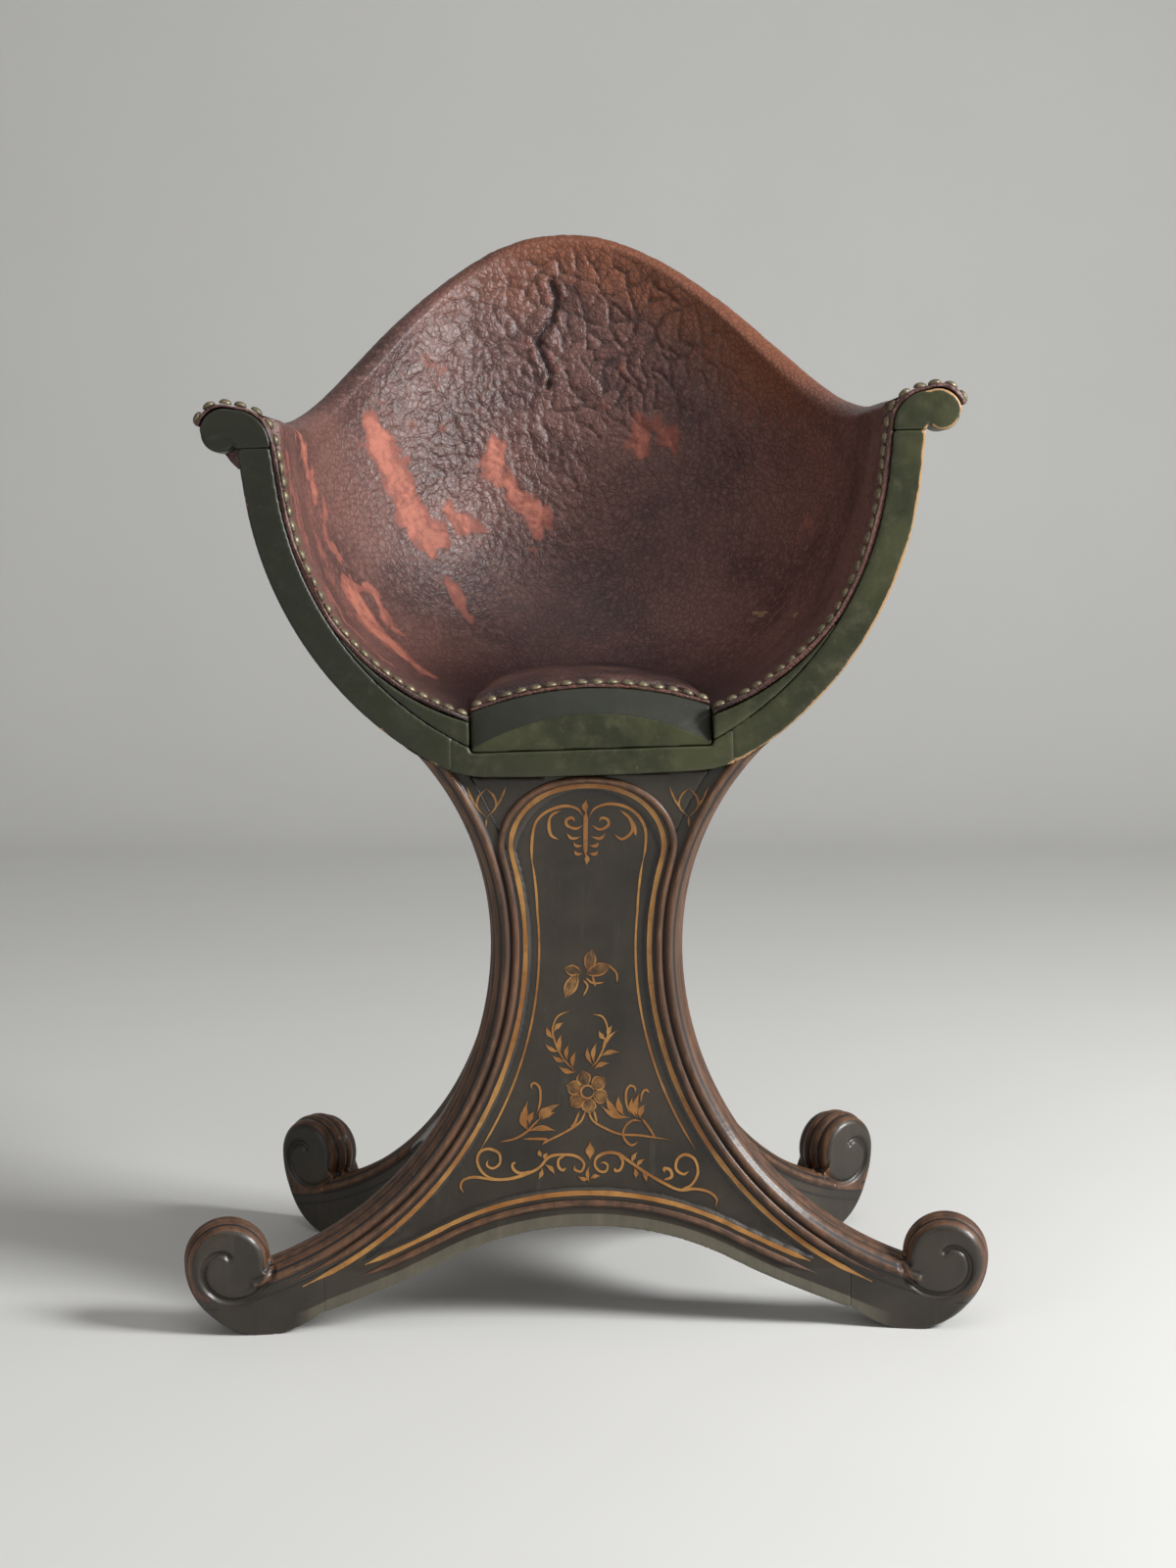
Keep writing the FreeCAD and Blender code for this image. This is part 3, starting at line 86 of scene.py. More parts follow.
# %% A socket that takes part in sums
class Wire:
    def __init__(self, socket):
        self.socket = socket
        self.tree = socket.id_data

    def node(self, kind, settings, sockets, output=0):
        made = self.tree.nodes.new(kind)
        for name, value in settings.items():
            setattr(made, name, value)
        for name, value in sockets.items():
            if isinstance(value, Wire):
                self.tree.links.new(value.socket, made.inputs[name])
            else:
                made.inputs[name].default_value = value
        return Wire(made.outputs[output])

    def maths(self, operation, first, second=0.0):
        return self.node("ShaderNodeMath", {"operation": operation}, {0: first, 1: second})

    def __add__(self, other):
        return self.maths("ADD", self, other)

    def __sub__(self, other):
        return self.maths("SUBTRACT", self, other)

    def __rsub__(self, other):
        return self.maths("SUBTRACT", other, self)

    def __mul__(self, other):
        return self.maths("MULTIPLY", self, other)

    __radd__ = __add__
    __rmul__ = __mul__

    def eased(self, low, high):
        sockets = {"Value": self, "From Min": low, "From Max": high}
        return self.node("ShaderNodeMapRange", {"interpolation_type": "SMOOTHSTEP"}, sockets)

    def mix(self, first, second):
        return self.node("ShaderNodeMix", {"data_type": "RGBA"}, {0: self, 6: first, 7: second}, 2)

    def vectors(self, operation, first, second):
        return self.node("ShaderNodeVectorMath", {"operation": operation}, {0: first, 1: second})

    def noise(self, scale, detail=4.0, rough=0.55, stretch=(1, 1, 1)):
        """Cloudy noise from 0 to 1; a stretch below 1 draws it out along that axis."""
        where = self.vectors("MULTIPLY", self, stretch)
        sockets = {"Vector": where, "Scale": scale, "Detail": detail, "Roughness": rough}
        return self.node("ShaderNodeTexNoise", {}, sockets)

    def cells(self, scale):
        """How far a place lies from the edge of its cell in a broken pattern."""
        sockets = {"Vector": self, "Scale": scale}
        return self.node("ShaderNodeTexVoronoi", {"feature": "DISTANCE_TO_EDGE"}, sockets)

    def jostled(self, scale, reach):
        """The place pushed about by noise, so that a regular pattern on it turns irregular."""
        push = self.node("ShaderNodeTexNoise", {}, {"Vector": self, "Scale": scale}, "Color")
        push = self.vectors("SUBTRACT", push, (0.5, 0.5, 0.5))
        return self.vectors("ADD", self, self.vectors("MULTIPLY", push, (reach,) * 3))

    def attribute(self, name):
        return self.node("ShaderNodeAttribute", {"attribute_name": name}, {}, "Fac")


def colour(red, green, blue):
    return (red, green, blue, 1.0)


# %% Starting a finish
def new_finish(name, **constants):
    """A material with its shader, and the place on the object as a wire."""
    material = bpy.data.materials.new(name)
    material.use_nodes = True
    shader = material.node_tree.nodes["Principled BSDF"]
    for socket, value in constants.items():
        shader.inputs[socket.replace("_", " ")].default_value = value
    place = material.node_tree.nodes.new("ShaderNodeTexCoord")
    return material, shader, Wire(place.outputs["Object"])


def feed(shader, **wires):
    for socket, wire in wires.items():
        wire.tree.links.new(wire.socket, shader.inputs[socket.replace("_", " ")])


def feed_bump(shader, height, strength, distance):
    sockets = {"Height": height, "Strength": strength, "Distance": distance}
    feed(shader, Normal=height.node("ShaderNodeBump", {}, sockets))


# %% [markdown]
# ## Floor and light
# A plain pale floor runs up into a backdrop, so that no corner shows. The key light stands to the right, as
# the shadows in the bowl and on the floor say, and is large so that they stay soft. Two weaker lamps fill.

# %% Floor
FLOOR_FRONT = -4.0
FLOOR_BACK = 2.6
COVE_R = 0.8
WALL_TOP = 4.0
FLOOR_HALF = 6.0

profile = [(FLOOR_FRONT, 0.0)]
for step in range(13):
    turn = math.radians(90 * step / 12)
    profile.append((FLOOR_BACK + COVE_R * math.sin(turn), COVE_R * (1 - math.cos(turn))))
profile.append((FLOOR_BACK + COVE_R, WALL_TOP))
floor_mesh = bpy.data.meshes.new("floor")
floor_points = [(side, y, z) for y, z in profile for side in (-FLOOR_HALF, FLOOR_HALF)]
floor_faces = [(2 * k, 2 * k + 1, 2 * k + 3, 2 * k + 2) for k in range(len(profile) - 1)]
floor_mesh.from_pydata(floor_points, [], floor_faces)
floor_mesh.polygons.foreach_set("use_smooth", [True] * len(floor_faces))
floor = bpy.data.objects.new("floor", floor_mesh)
bpy.context.scene.collection.objects.link(floor)
floor_finish, floor_shader, floor_place = new_finish("pale_floor", Roughness=0.7, Specular_IOR_Level=0.2)
feed(floor_shader, Base_Color=floor_place.noise(3.0).mix(colour(0.69, 0.69, 0.67), colour(0.73, 0.73, 0.715)))
floor.data.materials.append(floor_finish)
print("floor", len(floor_faces), "faces")

# %% Lamps
KEY = ((2.45, -1.15, 1.75), 0.9, 120.0)
FILL = ((-2.2, -2.8, 1.4), 2.4, 15.0)
TOP = ((0.1, -0.8, 3.0), 2.2, 15.0)
AIM = Vector((0.0, -0.1, 0.42))
WORLD_LEVEL = 0.20

for name, (place, wide, power) in {"key": KEY, "fill": FILL, "top": TOP}.items():
    lamp = bpy.data.lights.new(name, "AREA")
    lamp.size = wide
    lamp.energy = power
    holder = bpy.data.objects.new(name, lamp)
    holder.location = place
    holder.rotation_euler = (AIM - holder.location).to_track_quat("-Z", "Y").to_euler()
    bpy.context.scene.collection.objects.link(holder)
world = bpy.data.worlds.new("studio")
world.use_nodes = True
world.node_tree.nodes["Background"].inputs["Color"].default_value = colour(1.0, 0.98, 0.95)
world.node_tree.nodes["Background"].inputs["Strength"].default_value = WORLD_LEVEL
bpy.context.scene.world = world
bpy.context.scene.view_settings.view_transform = "Standard"
print("lamps 3, world", WORLD_LEVEL)

# %% [markdown]
# ## Old leather
# The skin is oxblood going to mauve-brown, darker in the cracks and rubbed to raw pink where backs and arms
# have touched it. Towards the seat it is painted darker, for the shade in the seat well. Large forms are in
# the mesh; the grain is a bump. Where it is rubbed, cracked or shaded is kept on the mesh as named values,
# and noise breaks their edges up.

# %% Leather finish
leather, leather_shader, place = new_finish("old_leather", Specular_IOR_Level=0.45, Coat_Roughness=0.35)
cloudy = place.noise(14.0, 5.0)
fine = place.noise(170.0, 4.0)
fibres = place.noise(150.0, 6.0, 0.7, (1.0, 1.0, 0.45))
pebbles = place.jostled(90.0, 0.006).cells(185.0).eased(0.0, 0.22)
crack = place.attribute("crack").eased(0.25, 0.9)
patchy = place.noise(58.0, 6.0, 0.7)
scuff = (place.attribute("scuff") + 1.9 * (patchy - 0.5) + 0.6 * (fibres - 0.5)).eased(0.42, 0.68)
raw = (place.attribute("scuff") + 2.2 * (place.noise(85.0, 6.0, 0.7) - 0.5)).eased(0.62, 1.2)
russet = (place.attribute("russet") + 0.6 * (cloudy - 0.5)).eased(0.20, 0.80)
# painted shade: darker at the bottom of the bowl and over the seat, where the seat well lies in shade
grime = (place.attribute("grime") + 0.35 * (cloudy - 0.5)).eased(0.15, 0.85)
skin = cloudy.eased(0.32, 0.68).mix(colour(0.078, 0.034, 0.029), colour(0.175, 0.080, 0.066))
skin = (fine.eased(0.45, 0.70) * 0.6).mix(skin, colour(0.235, 0.118, 0.098))
skin = russet.mix(skin, colour(0.215, 0.070, 0.032))
skin = grime.mix(skin, colour(0.022, 0.013, 0.013))
skin = ((1 - pebbles) * 0.35).mix(skin, colour(0.030, 0.016, 0.015))
skin = scuff.mix(skin, colour(0.265, 0.090, 0.066))
skin = (raw * scuff).mix(skin, colour(0.47, 0.168, 0.115))
skin = (crack * 0.75).mix(skin, colour(0.018, 0.010, 0.010))
feed(leather_shader, Base_Color=skin)
feed(leather_shader, Roughness=0.38 + 0.2 * fine + 0.25 * scuff)
feed(leather_shader, Coat_Weight=0.10 * (1 - scuff))
feed_bump(leather_shader, pebbles * (1 - 0.7 * scuff) * 0.6 + fine * 0.25 + fibres * scuff * 0.8, 0.55, 0.0009)
print("leather nodes", len(leather.node_tree.nodes))

# %% [markdown]
# ## Bottle-green paint
# The hoop is painted bottle green over a gold ground that shows where hands have worn the edges. Wear could
# be drawn as an image. Here each mesh knows how sharp it is at each point, so the paint goes thin where a
# hand or a sleeve would meet the wood first, and noise breaks the line up.

# %% Bottle-green paint
green_paint, green_shader, place = new_finish("green_paint", Specular_IOR_Level=0.45)
cloudy = place.noise(22.0, 5.0)
flecks = place.noise(240.0, 4.0, 0.7)
streaks = place.noise(60.0, 5.0, 0.65, (1.0, 0.25, 1.0))
worn = (place.attribute("edge") + 1.7 * (place.noise(52.0, 6.0, 0.7) - 0.5)).eased(0.66, 0.84)
# painted shade: the coat goes near black on the hoop's left side and on the up-facing faces of the seat's front
painted_shade = (place.attribute("painted_shade") + 0.8 * (cloudy - 0.5)).eased(0.25, 0.75)
chips = place.noise(95.0, 6.0, 0.75).eased(0.66, 0.70)
coat = cloudy.eased(0.3, 0.7).mix(colour(0.024, 0.027, 0.011), colour(0.058, 0.061, 0.024))
coat = streaks.eased(0.45, 0.80).mix(coat, colour(0.080, 0.078, 0.042))
coat = flecks.eased(0.68, 0.78).mix(coat, colour(0.17, 0.16, 0.10))
coat = (chips * 0.7).mix(coat, colour(0.030, 0.022, 0.016))
coat = (painted_shade * 0.8).mix(coat, colour(0.010, 0.012, 0.008))
coat = (worn * 0.9).mix(coat, colour(0.42, 0.25, 0.115))
feed(green_shader, Base_Color=coat)
feed(green_shader, Roughness=0.27 + 0.3 * flecks)
feed_bump(green_shader, cloudy * 0.4 + flecks * 0.3 - chips * 0.5, 0.4, 0.0009)
print("green paint nodes", len(green_paint.node_tree.nodes))

# %% [markdown]
# ## Pedestal lacquer
# The pedestal is black-brown lacquer, warm brown on its reeds, with its grooves painted near black for old
# polish and for shade, and a paler band along the lower edge. One finish serves legs, boards and beads,
# because named values on each mesh say where it is reeded, hollow, worn or pale. Separate finishes would show
# a line where two pieces meet.

# %% Pedestal lacquer
lacquer, lacquer_shader, place = new_finish("pedestal_lacquer", Coat_Weight=0.18, Coat_Roughness=0.14)
cloudy = place.noise(18.0, 5.0)
flecks = place.noise(260.0, 4.0, 0.7)
grain = place.noise(120.0, 4.0, 0.6, (1.0, 1.0, 0.12))
reeded = (place.attribute("reeded") + 0.3 * (cloudy - 0.5)).eased(0.35, 0.7)
worn = (place.attribute("edge") + 0.8 * (place.noise(60.0, 6.0, 0.7) - 0.5)).eased(0.55, 0.95)
hollow = place.attribute("hollow").eased(0.1, 0.7)
sole_band = (place.attribute("band") + 0.5 * (cloudy - 0.5)).eased(0.4, 0.7)
coat = cloudy.eased(0.3, 0.7).mix(colour(0.018, 0.013, 0.008), colour(0.040, 0.030, 0.019))
coat = grain.eased(0.55, 0.8).mix(coat, colour(0.042, 0.036, 0.024))
brown = grain.eased(0.3, 0.7).mix(colour(0.046, 0.020, 0.009), colour(0.130, 0.056, 0.024))
coat = reeded.mix(coat, brown)
coat = (sole_band * (0.35 + 0.7 * grain)).mix(coat, colour(0.135, 0.122, 0.085))
coat = (worn * (0.25 + 0.6 * reeded)).mix(coat, colour(0.31, 0.165, 0.082))
# old polish and painted shade: hollows and grooves go near black
coat = hollow.mix(coat, colour(0.008, 0.006, 0.005))
coat = (flecks.eased(0.70, 0.78) * 0.6).mix(coat, colour(0.17, 0.14, 0.10))
feed(lacquer_shader, Base_Color=coat)
feed(lacquer_shader, Roughness=0.30 + 0.28 * flecks + 0.12 * reeded)
feed_bump(lacquer_shader, cloudy * 0.8 + flecks * 0.25 + grain * 0.25, 0.4, 0.0012)
print("lacquer nodes", len(lacquer.node_tree.nodes))

# %% [markdown]
# ## Gold and brass
# The painting is ochre gold, laid thin, so that the dark ground shows where the brush ran dry. It could be
# metal leaf, but it doesn't mirror the light, so it stays a plain paint. The nails are brass gone dull:
# metal with a good share of tarnish mixed in.

# %% Gold paint and brass
gold_paint, gold_shader, place = new_finish("gold_paint", Specular_IOR_Level=0.5)
cover = (place.attribute("cover") + 1.3 * (place.noise(130.0, 6.0, 0.7) - 0.5)).eased(0.05, 0.85)
tone = place.noise(30.0, 4.0).eased(0.35, 0.65).mix(colour(0.27, 0.105, 0.024), colour(0.43, 0.215, 0.060))
feed(gold_shader, Base_Color=cover.mix(colour(0.022, 0.018, 0.011), tone))
feed(gold_shader, Roughness=0.50 - 0.12 * cover)

nail_brass, nail_shader, place = new_finish("nail_brass")
dull = place.noise(320.0, 5.0, 0.65)
tarnish = dull.eased(0.35, 0.65).mix(colour(0.30, 0.245, 0.15), colour(0.115, 0.105, 0.070))
feed(nail_shader, Base_Color=tarnish)
feed(nail_shader, Metallic=0.85 - 0.5 * dull)
feed(nail_shader, Roughness=0.34 + 0.25 * dull)
print("gold nodes", len(gold_paint.node_tree.nodes), "brass nodes", len(nail_brass.node_tree.nodes))

# %% [markdown]
# ## Shell paint and bare wood
# Behind the leather the staves are painted a dull dark green, and inside the wood is bare. Both could carry
# an image of boards. Noise stretched along the grain is enough for pieces that are seen only from behind or
# with the seat out.

# %% Shell paint and bare wood
shell_paint, shell_shader, place = new_finish("shell_paint", Specular_IOR_Level=0.4)
cloudy = place.noise(20.0, 5.0)
grain = place.noise(90.0, 5.0, 0.6, (1.0, 1.0, 0.08))
coat = cloudy.eased(0.3, 0.7).mix(colour(0.020, 0.023, 0.013), colour(0.044, 0.047, 0.027))
coat = grain.eased(0.58, 0.8).mix(coat, colour(0.085, 0.068, 0.045))
feed(shell_shader, Base_Color=coat)
feed(shell_shader, Roughness=0.45 + 0.25 * grain)
feed_bump(shell_shader, grain, 0.3, 0.0008)

bare_wood, wood_shader, place = new_finish("bare_wood", Specular_IOR_Level=0.3)
grain = place.noise(70.0, 6.0, 0.6, (0.15, 1.0, 1.0))
timber = grain.eased(0.3, 0.75).mix(colour(0.20, 0.12, 0.065), colour(0.36, 0.24, 0.14))
feed(wood_shader, Base_Color=timber)
feed(wood_shader, Roughness=0.6 + 0.2 * grain)
feed_bump(wood_shader, grain, 0.25, 0.0006)
print("shell nodes", len(shell_paint.node_tree.nodes), "wood nodes", len(bare_wood.node_tree.nodes))

# %% [markdown]
# ## Helpers for shaping
# Most pieces are a stack of closed outlines joined by faces. Hand-carved wood has no crisp machine edges, so
# a carved piece is then rebuilt from small cubes (a voxel remesh) and smoothed a little: that joins what
# overlaps, and rounds every arris like a hundred years of paint and dusting.

# %% Outlines into solids
def ring_faces(index):
    """Faces between rings of point numbers, and a cap on the first and the last ring."""
    after = np.roll(index, -1, axis=1)
    sides = np.stack([index[:-1], after[:-1], after[1:], index[1:]], -1).reshape(-1, 4)
    return sides.tolist() + [index[0][::-1].tolist(), index[-1].tolist()]


def grid_mesh(name, rings):
    """A closed mesh through matching rings of points."""
    index = np.arange(rings.shape[0] * rings.shape[1]).reshape(rings.shape[:2])
    mesh = bpy.data.meshes.new(name)
    mesh.from_pydata(rings.reshape(-1, 3).tolist(), [], ring_faces(index))
    tool = bmesh.new()
    tool.from_mesh(mesh)
    bmesh.ops.recalc_face_normals(tool, faces=tool.faces)
    tool.to_mesh(mesh)
    tool.free()
    return mesh


def new_piece(name, mesh, finish, body, slot):
    """A mesh as a piece of the chair, with its finish, on the body that it moves with."""
    piece = bpy.data.objects.new(name, mesh)
    bpy.context.scene.collection.objects.link(piece)
    mesh.materials.clear()
    mesh.materials.append(finish)
    mesh.polygons.foreach_set("use_smooth", [True] * len(mesh.polygons))
    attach(piece, body)
    return piece


# %% Numbers kept on a mesh
def read(values, name, width):
    """One named value of every point, as rows of numbers."""
    rows = np.empty(len(values) * width, np.float32)
    values.foreach_get(name, rows)
    return rows.reshape(-1, width).astype(float)


def points_of(mesh):
    return read(mesh.vertices, "co", 3)


def normals_of(mesh):
    return read(mesh.vertex_normals, "vector", 3)


def values_of(mesh, name):
    return read(mesh.attributes[name].data, "value", 1)[:, 0]


def move_points(mesh, points):
    mesh.vertices.foreach_set("co", points.astype(np.float32).ravel())
    mesh.update()


def note(mesh, name, values):
    """Keeps a value per point, or one for all, on the mesh, for a finish to read."""
    layer = mesh.attributes.get(name) or mesh.attributes.new(name, "FLOAT", "POINT")
    layer.data.foreach_set("value", np.full(len(mesh.vertices), values, np.float32))


# %% Joining and softening
def joined_mesh(name, meshes):
    tool = bmesh.new()
    for mesh in meshes:
        tool.from_mesh(mesh)
    bmesh.ops.remove_doubles(tool, verts=tool.verts, dist=1e-6)
    merged = bpy.data.meshes.new(name)
    tool.to_mesh(merged)
    tool.free()
    return merged


def softened(name, mesh, voxel, rounds):
    """The mesh rebuilt from small cubes and smoothed, as a new mesh."""
    helper = bpy.data.objects.new(name + "_blank", mesh)
    bpy.context.scene.collection.objects.link(helper)
    rebuild = helper.modifiers.new("rebuild", "REMESH")
    rebuild.mode = "VOXEL"
    rebuild.voxel_size = voxel
    rub = helper.modifiers.new("rub", "SMOOTH")
    rub.factor = 0.5
    rub.iterations = rounds
    graph = bpy.context.evaluated_depsgraph_get()
    result = bpy.data.meshes.new_from_object(helper.evaluated_get(graph))
    bpy.data.objects.remove(helper)
    result.name = name
    return result


# %% [markdown]
# ## Wear and painted shade on carved wood
# Paint goes first from the arrises, and the grooves are painted dark, for dirt and for the shade that falls in
# them. Both could be painted on by hand. Measured from the mesh they are right everywhere: a point that stands
# out from its neighbours is on an arris, and one that lies behind them is in a groove.

# %% Arrises and grooves
EDGE_GAIN = 9.0


def sharpness(mesh, spread=2):
    """How far each point stands out from its neighbours: above 0 on an arris, below 0 in a groove."""
    points, normals = points_of(mesh), normals_of(mesh)
    pairs = np.empty(len(mesh.edges) * 2, np.int32)
    mesh.edges.foreach_get("vertices", pairs)
    first, second = pairs.reshape(-1, 2).T
    step = points[first] - points[second]
    step /= np.linalg.norm(step, axis=1)[:, None] + 1e-12
    total = np.zeros(len(points))
    count = np.zeros(len(points))
    np.add.at(total, first, (normals[first] * step).sum(1))
    np.add.at(total, second, -(normals[second] * step).sum(1))
    np.add.at(count, first, 1)
    np.add.at(count, second, 1)
    value = total / np.maximum(count, 1)
    for _ in range(spread):
        total = value.copy()
        np.add.at(total, first, value[second])
        np.add.at(total, second, value[first])
        value = total / (count + 1)
    return value


def note_wear(mesh):
    sharp = sharpness(mesh) * EDGE_GAIN
    note(mesh, "edge", np.clip(sharp, 0, 1))
    # grooves are marked to go dark, for old polish and painted shade
    note(mesh, "hollow", np.clip(-sharp, 0, 1))


def carved(name, node, voxel, rounds, kind, added=()):
    """A CAD node made anew as worn, softly rounded wood; kind is its finish, body and slot, and the slot is not
    used.
    """
    blank = joined_mesh(name + "_blank", [nodes[node].data, *added])
    mesh = softened(name, blank, voxel, rounds)
    note_wear(mesh)
    piece = new_piece(name, mesh, *kind)
    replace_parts(piece, node)
    print(name, len(mesh.polygons), "faces")
    return piece


# %% [markdown]
# ## The painted hoop and the seat's front
# Two arms, a bottom rail and two scarfed ear tips make the hoop; the lunette-shaped board in front of the
# seat is painted like it. They keep the CAD forms, with rounded arrises. The paint is worn through along
# the outer arris, where the chair is carried, so the wear is weighted by the distance from the outside.

# %% The shell's round
RAIL_LOW_Z = 0.399
SETTLE_DEG = 1.7
SETTLE_X = 0.0035
HOOP_OUTER_R = 0.264
ARC_SHIFT = 0.0245
ARC_Z = 0.636
FLARE_DEG = 7.0
lean = math.radians(FLARE_DEG)
settle_turn = np.array(Matrix.Rotation(math.radians(-SETTLE_DEG), 3, "Y"))
settle_pivot = np.array([0, 0, RAIL_LOW_Z])
settle_shift = np.array([SETTLE_X, 0, 0])


def settle(points):
    """From the shell's own upright frame to where the old shell has settled."""
    return (points - settle_pivot) @ settle_turn.T + settle_pivot + settle_shift


def unsettle(points):
    return (points - settle_shift - settle_pivot) @ settle_turn + settle_pivot


def wall_x(radius, z):
    """Half width of the shell at a height: an arc that runs on into a straight lean."""
    z = np.asarray(z, float)
    knee = ARC_Z - radius * math.sin(lean)
    curved = np.sqrt(np.maximum(radius ** 2 - (ARC_Z - z) ** 2, 0)) - ARC_SHIFT
    straight = radius * math.cos(lean) - ARC_SHIFT + (z - knee) * math.tan(lean)
    return np.where(z < knee, curved, straight)


half_widths = wall_x(HOOP_OUTER_R, [0.45, 0.55, 0.65])
print("half width of the hoop at three heights, mm", [round(1000 * float(x), 1) for x in half_widths])

# %% The hoop's lower corners
RAIL_HIGH = 0.018
CORNER_SOFT = 0.008
JOINT_COVER = 0.0012
JOINT_X = (0.095, 0.112)


def hoop_low(side):
    """The sharp lower line of the hoop, and how far its soft corner lies above that."""
    arc_low = ARC_Z - np.sqrt(np.maximum(HOOP_OUTER_R ** 2 - (side + ARC_SHIFT) ** 2, 0))
    apart = arc_low - RAIL_LOW_Z
    return np.maximum(arc_low, RAIL_LOW_Z), (np.hypot(apart, CORNER_SOFT) - np.abs(apart)) / 2


def ease_joint(mesh):
    """Rounds the corner where arm and rail meet, and closes their joint under the paint."""
    normals = normals_of(mesh) @ settle_turn
    points = unsettle(points_of(mesh))
    side = np.abs(points[:, 0])
    sharp_low, lift = hoop_low(side)
    points[:, 2] += lift * np.clip(1 - (points[:, 2] - sharp_low) / RAIL_HIGH, 0, 1)
    at_joint = (np.abs(normals[:, 0]) > 0.5) & (side > JOINT_X[0]) & (side < JOINT_X[1])
    points[:, 0] += JOINT_COVER * np.sign(normals[:, 0]) * at_joint
    move_points(mesh, settle(points))


eased = hoop_low(np.linspace(0.0, 0.2, 50))[1].max()
print("hoop's corner eased by up to", round(1000 * float(eased), 1), "mm")

# %% Hoop
WOOD_VOXEL = 0.0016
OUTER_WEAR = 0.007
PAINTED = (green_paint, "chair", "green_paint")


def weigh_hoop_wear(piece):
    """Keeps the wear of the edges to the hoop's outside, and paints shade over its left side."""
    points = unsettle(points_of(piece.data))
    side, height = np.abs(points[:, 0]), points[:, 2]
    from_arc = HOOP_OUTER_R - np.hypot(side + ARC_SHIFT, height - ARC_Z)
    from_lean = wall_x(HOOP_OUTER_R, height) - side
    from_outside = np.where(height < ARC_Z, from_arc, from_lean)
    from_outside = np.minimum(from_outside, np.maximum(height - RAIL_LOW_Z, 0) + 0.004)
    edge = values_of(piece.data, "edge")
    outer = np.clip(1.15 - from_outside / OUTER_WEAR, 0, 1)
    handled = np.clip(0.68 + 1.3 * points[:, 0], 0.45, 0.95) * (points[:, 1] < HOOP_Y + 0.015)
    note(piece.data, "edge", edge * outer * handled + 0.12 * edge)
    # painted shade: the hoop darkens towards its left, the side away from the light
    note(piece.data, "painted_shade", np.clip(0.35 - 1.6 * points[:, 0], 0, 0.75))


hoop = {}
for name in ("left_arm", "right_arm", "left_corner_block", "right_corner_block", "front_rail"):
    hoop[name] = carved(name + "_wood", name, WOOD_VOXEL, 3, PAINTED)
    if "block" not in name:
        ease_joint(hoop[name].data)
    weigh_hoop_wear(hoop[name])

# %% [markdown]
# ## Ear tips
# The arms curl outward in a hook whose hollow is filled by a round cheek. The hook is the CAD solid; the cheek
# could be a bump, but it catches light and shade at its rim, so it is a short round plug that the remesh
# makes one with the hook.

# %% Ear tips
EAR_VOXEL = 0.0011
EAR_LOBES = {"left": (-0.2566, 0.6395, 0.0134, 0.0012), "right": (0.2490, 0.6548, 0.0124, 0.0)}
LOBE_RINGS = ((0.0, 0.92), (0.0025, 1.0), (0.028, 1.0), (0.031, 0.9))


def lobe_mesh(x, z, radius, sunk):
    """The round cheek that fills the hook of an ear."""
    turns = np.radians(np.linspace(0, 360, 41)[:-1])
    rings = []
    for back, share in LOBE_RINGS:
        y = np.full(len(turns), HOOP_Y + sunk + back)
        reach = radius * share
        rings.append(np.stack([x + reach * np.cos(turns), y, z + reach * np.sin(turns)], 1))
    return grid_mesh("lobe", np.array(rings))


for side, lobe in EAR_LOBES.items():
    name = f"{side}_ear_tip"
    weigh_hoop_wear(carved(name + "_wood", name, EAR_VOXEL, 4, PAINTED, [lobe_mesh(*lobe)]))

# %% [markdown]
# ## The seat's front
# The board in front of the seat has a low arch on its face and a high one behind a long bevel. The CAD solid
# gives the bevel as a few flat runs, which would show as facets, so the same form with true arches is laid
# over it before the two are made one.

# %% The seat's front
SEAT_VOXEL = 0.0012
SEAT_BEVEL = 0.014
SEAT_THICK = 0.024
SEAT_ARCHES = ((0.0, 0.0015, 0.025), (SEAT_BEVEL, 0.028, 0.043), (SEAT_THICK, 0.028, 0.043))


def seat_front_mesh():
    """The board with true arches: a low one on its face, a high one behind the bevel."""
    own = unsettle(points_of(nodes["seat_front_rail"].data))
    (_, front, low), half = own.min(0), own[:, 0].max()
    x = np.linspace(half, -half, 81)
    rings = []
    for back, end_high, crown_high in SEAT_ARCHES:
        rise = crown_high - end_high
        radius = (half ** 2 + rise ** 2) / (2 * rise)
        arch = low + crown_high - radius + np.sqrt(radius ** 2 - x ** 2)
        outline = [(half, low)] + list(zip(x, arch)) + [(-half, low)]
        rings.append(settle(np.array([(px, front + back, pz) for px, pz in outline])))
    return grid_mesh("seat_front", np.array(rings))


seat_kind = (green_paint, "seat", "green_paint")
seat_front = carved("seat_front_wood", "seat_front_rail", SEAT_VOXEL, 5, seat_kind, [seat_front_mesh()])
# painted shade: faces that look up, the bevel above all, are painted darker
facing_up = normals_of(seat_front.data)[:, 2]
note(seat_front.data, "painted_shade", np.clip((facing_up - 0.25) / 0.2, 0, 0.8))
note(seat_front.data, "edge", 0.3 * values_of(seat_front.data, "edge"))

# %% [markdown]
# ## Reeded legs with scroll feet
# Each leg is sawn in its own upright plane: two arcs back to back. A moulded section is swept along them,
# and the foot is a reeded roll on a toe that wraps round it. The three are overlapped, made one by the
# remesh, and then the spiral is cut into the roll's face by pressing the points near its line inward.

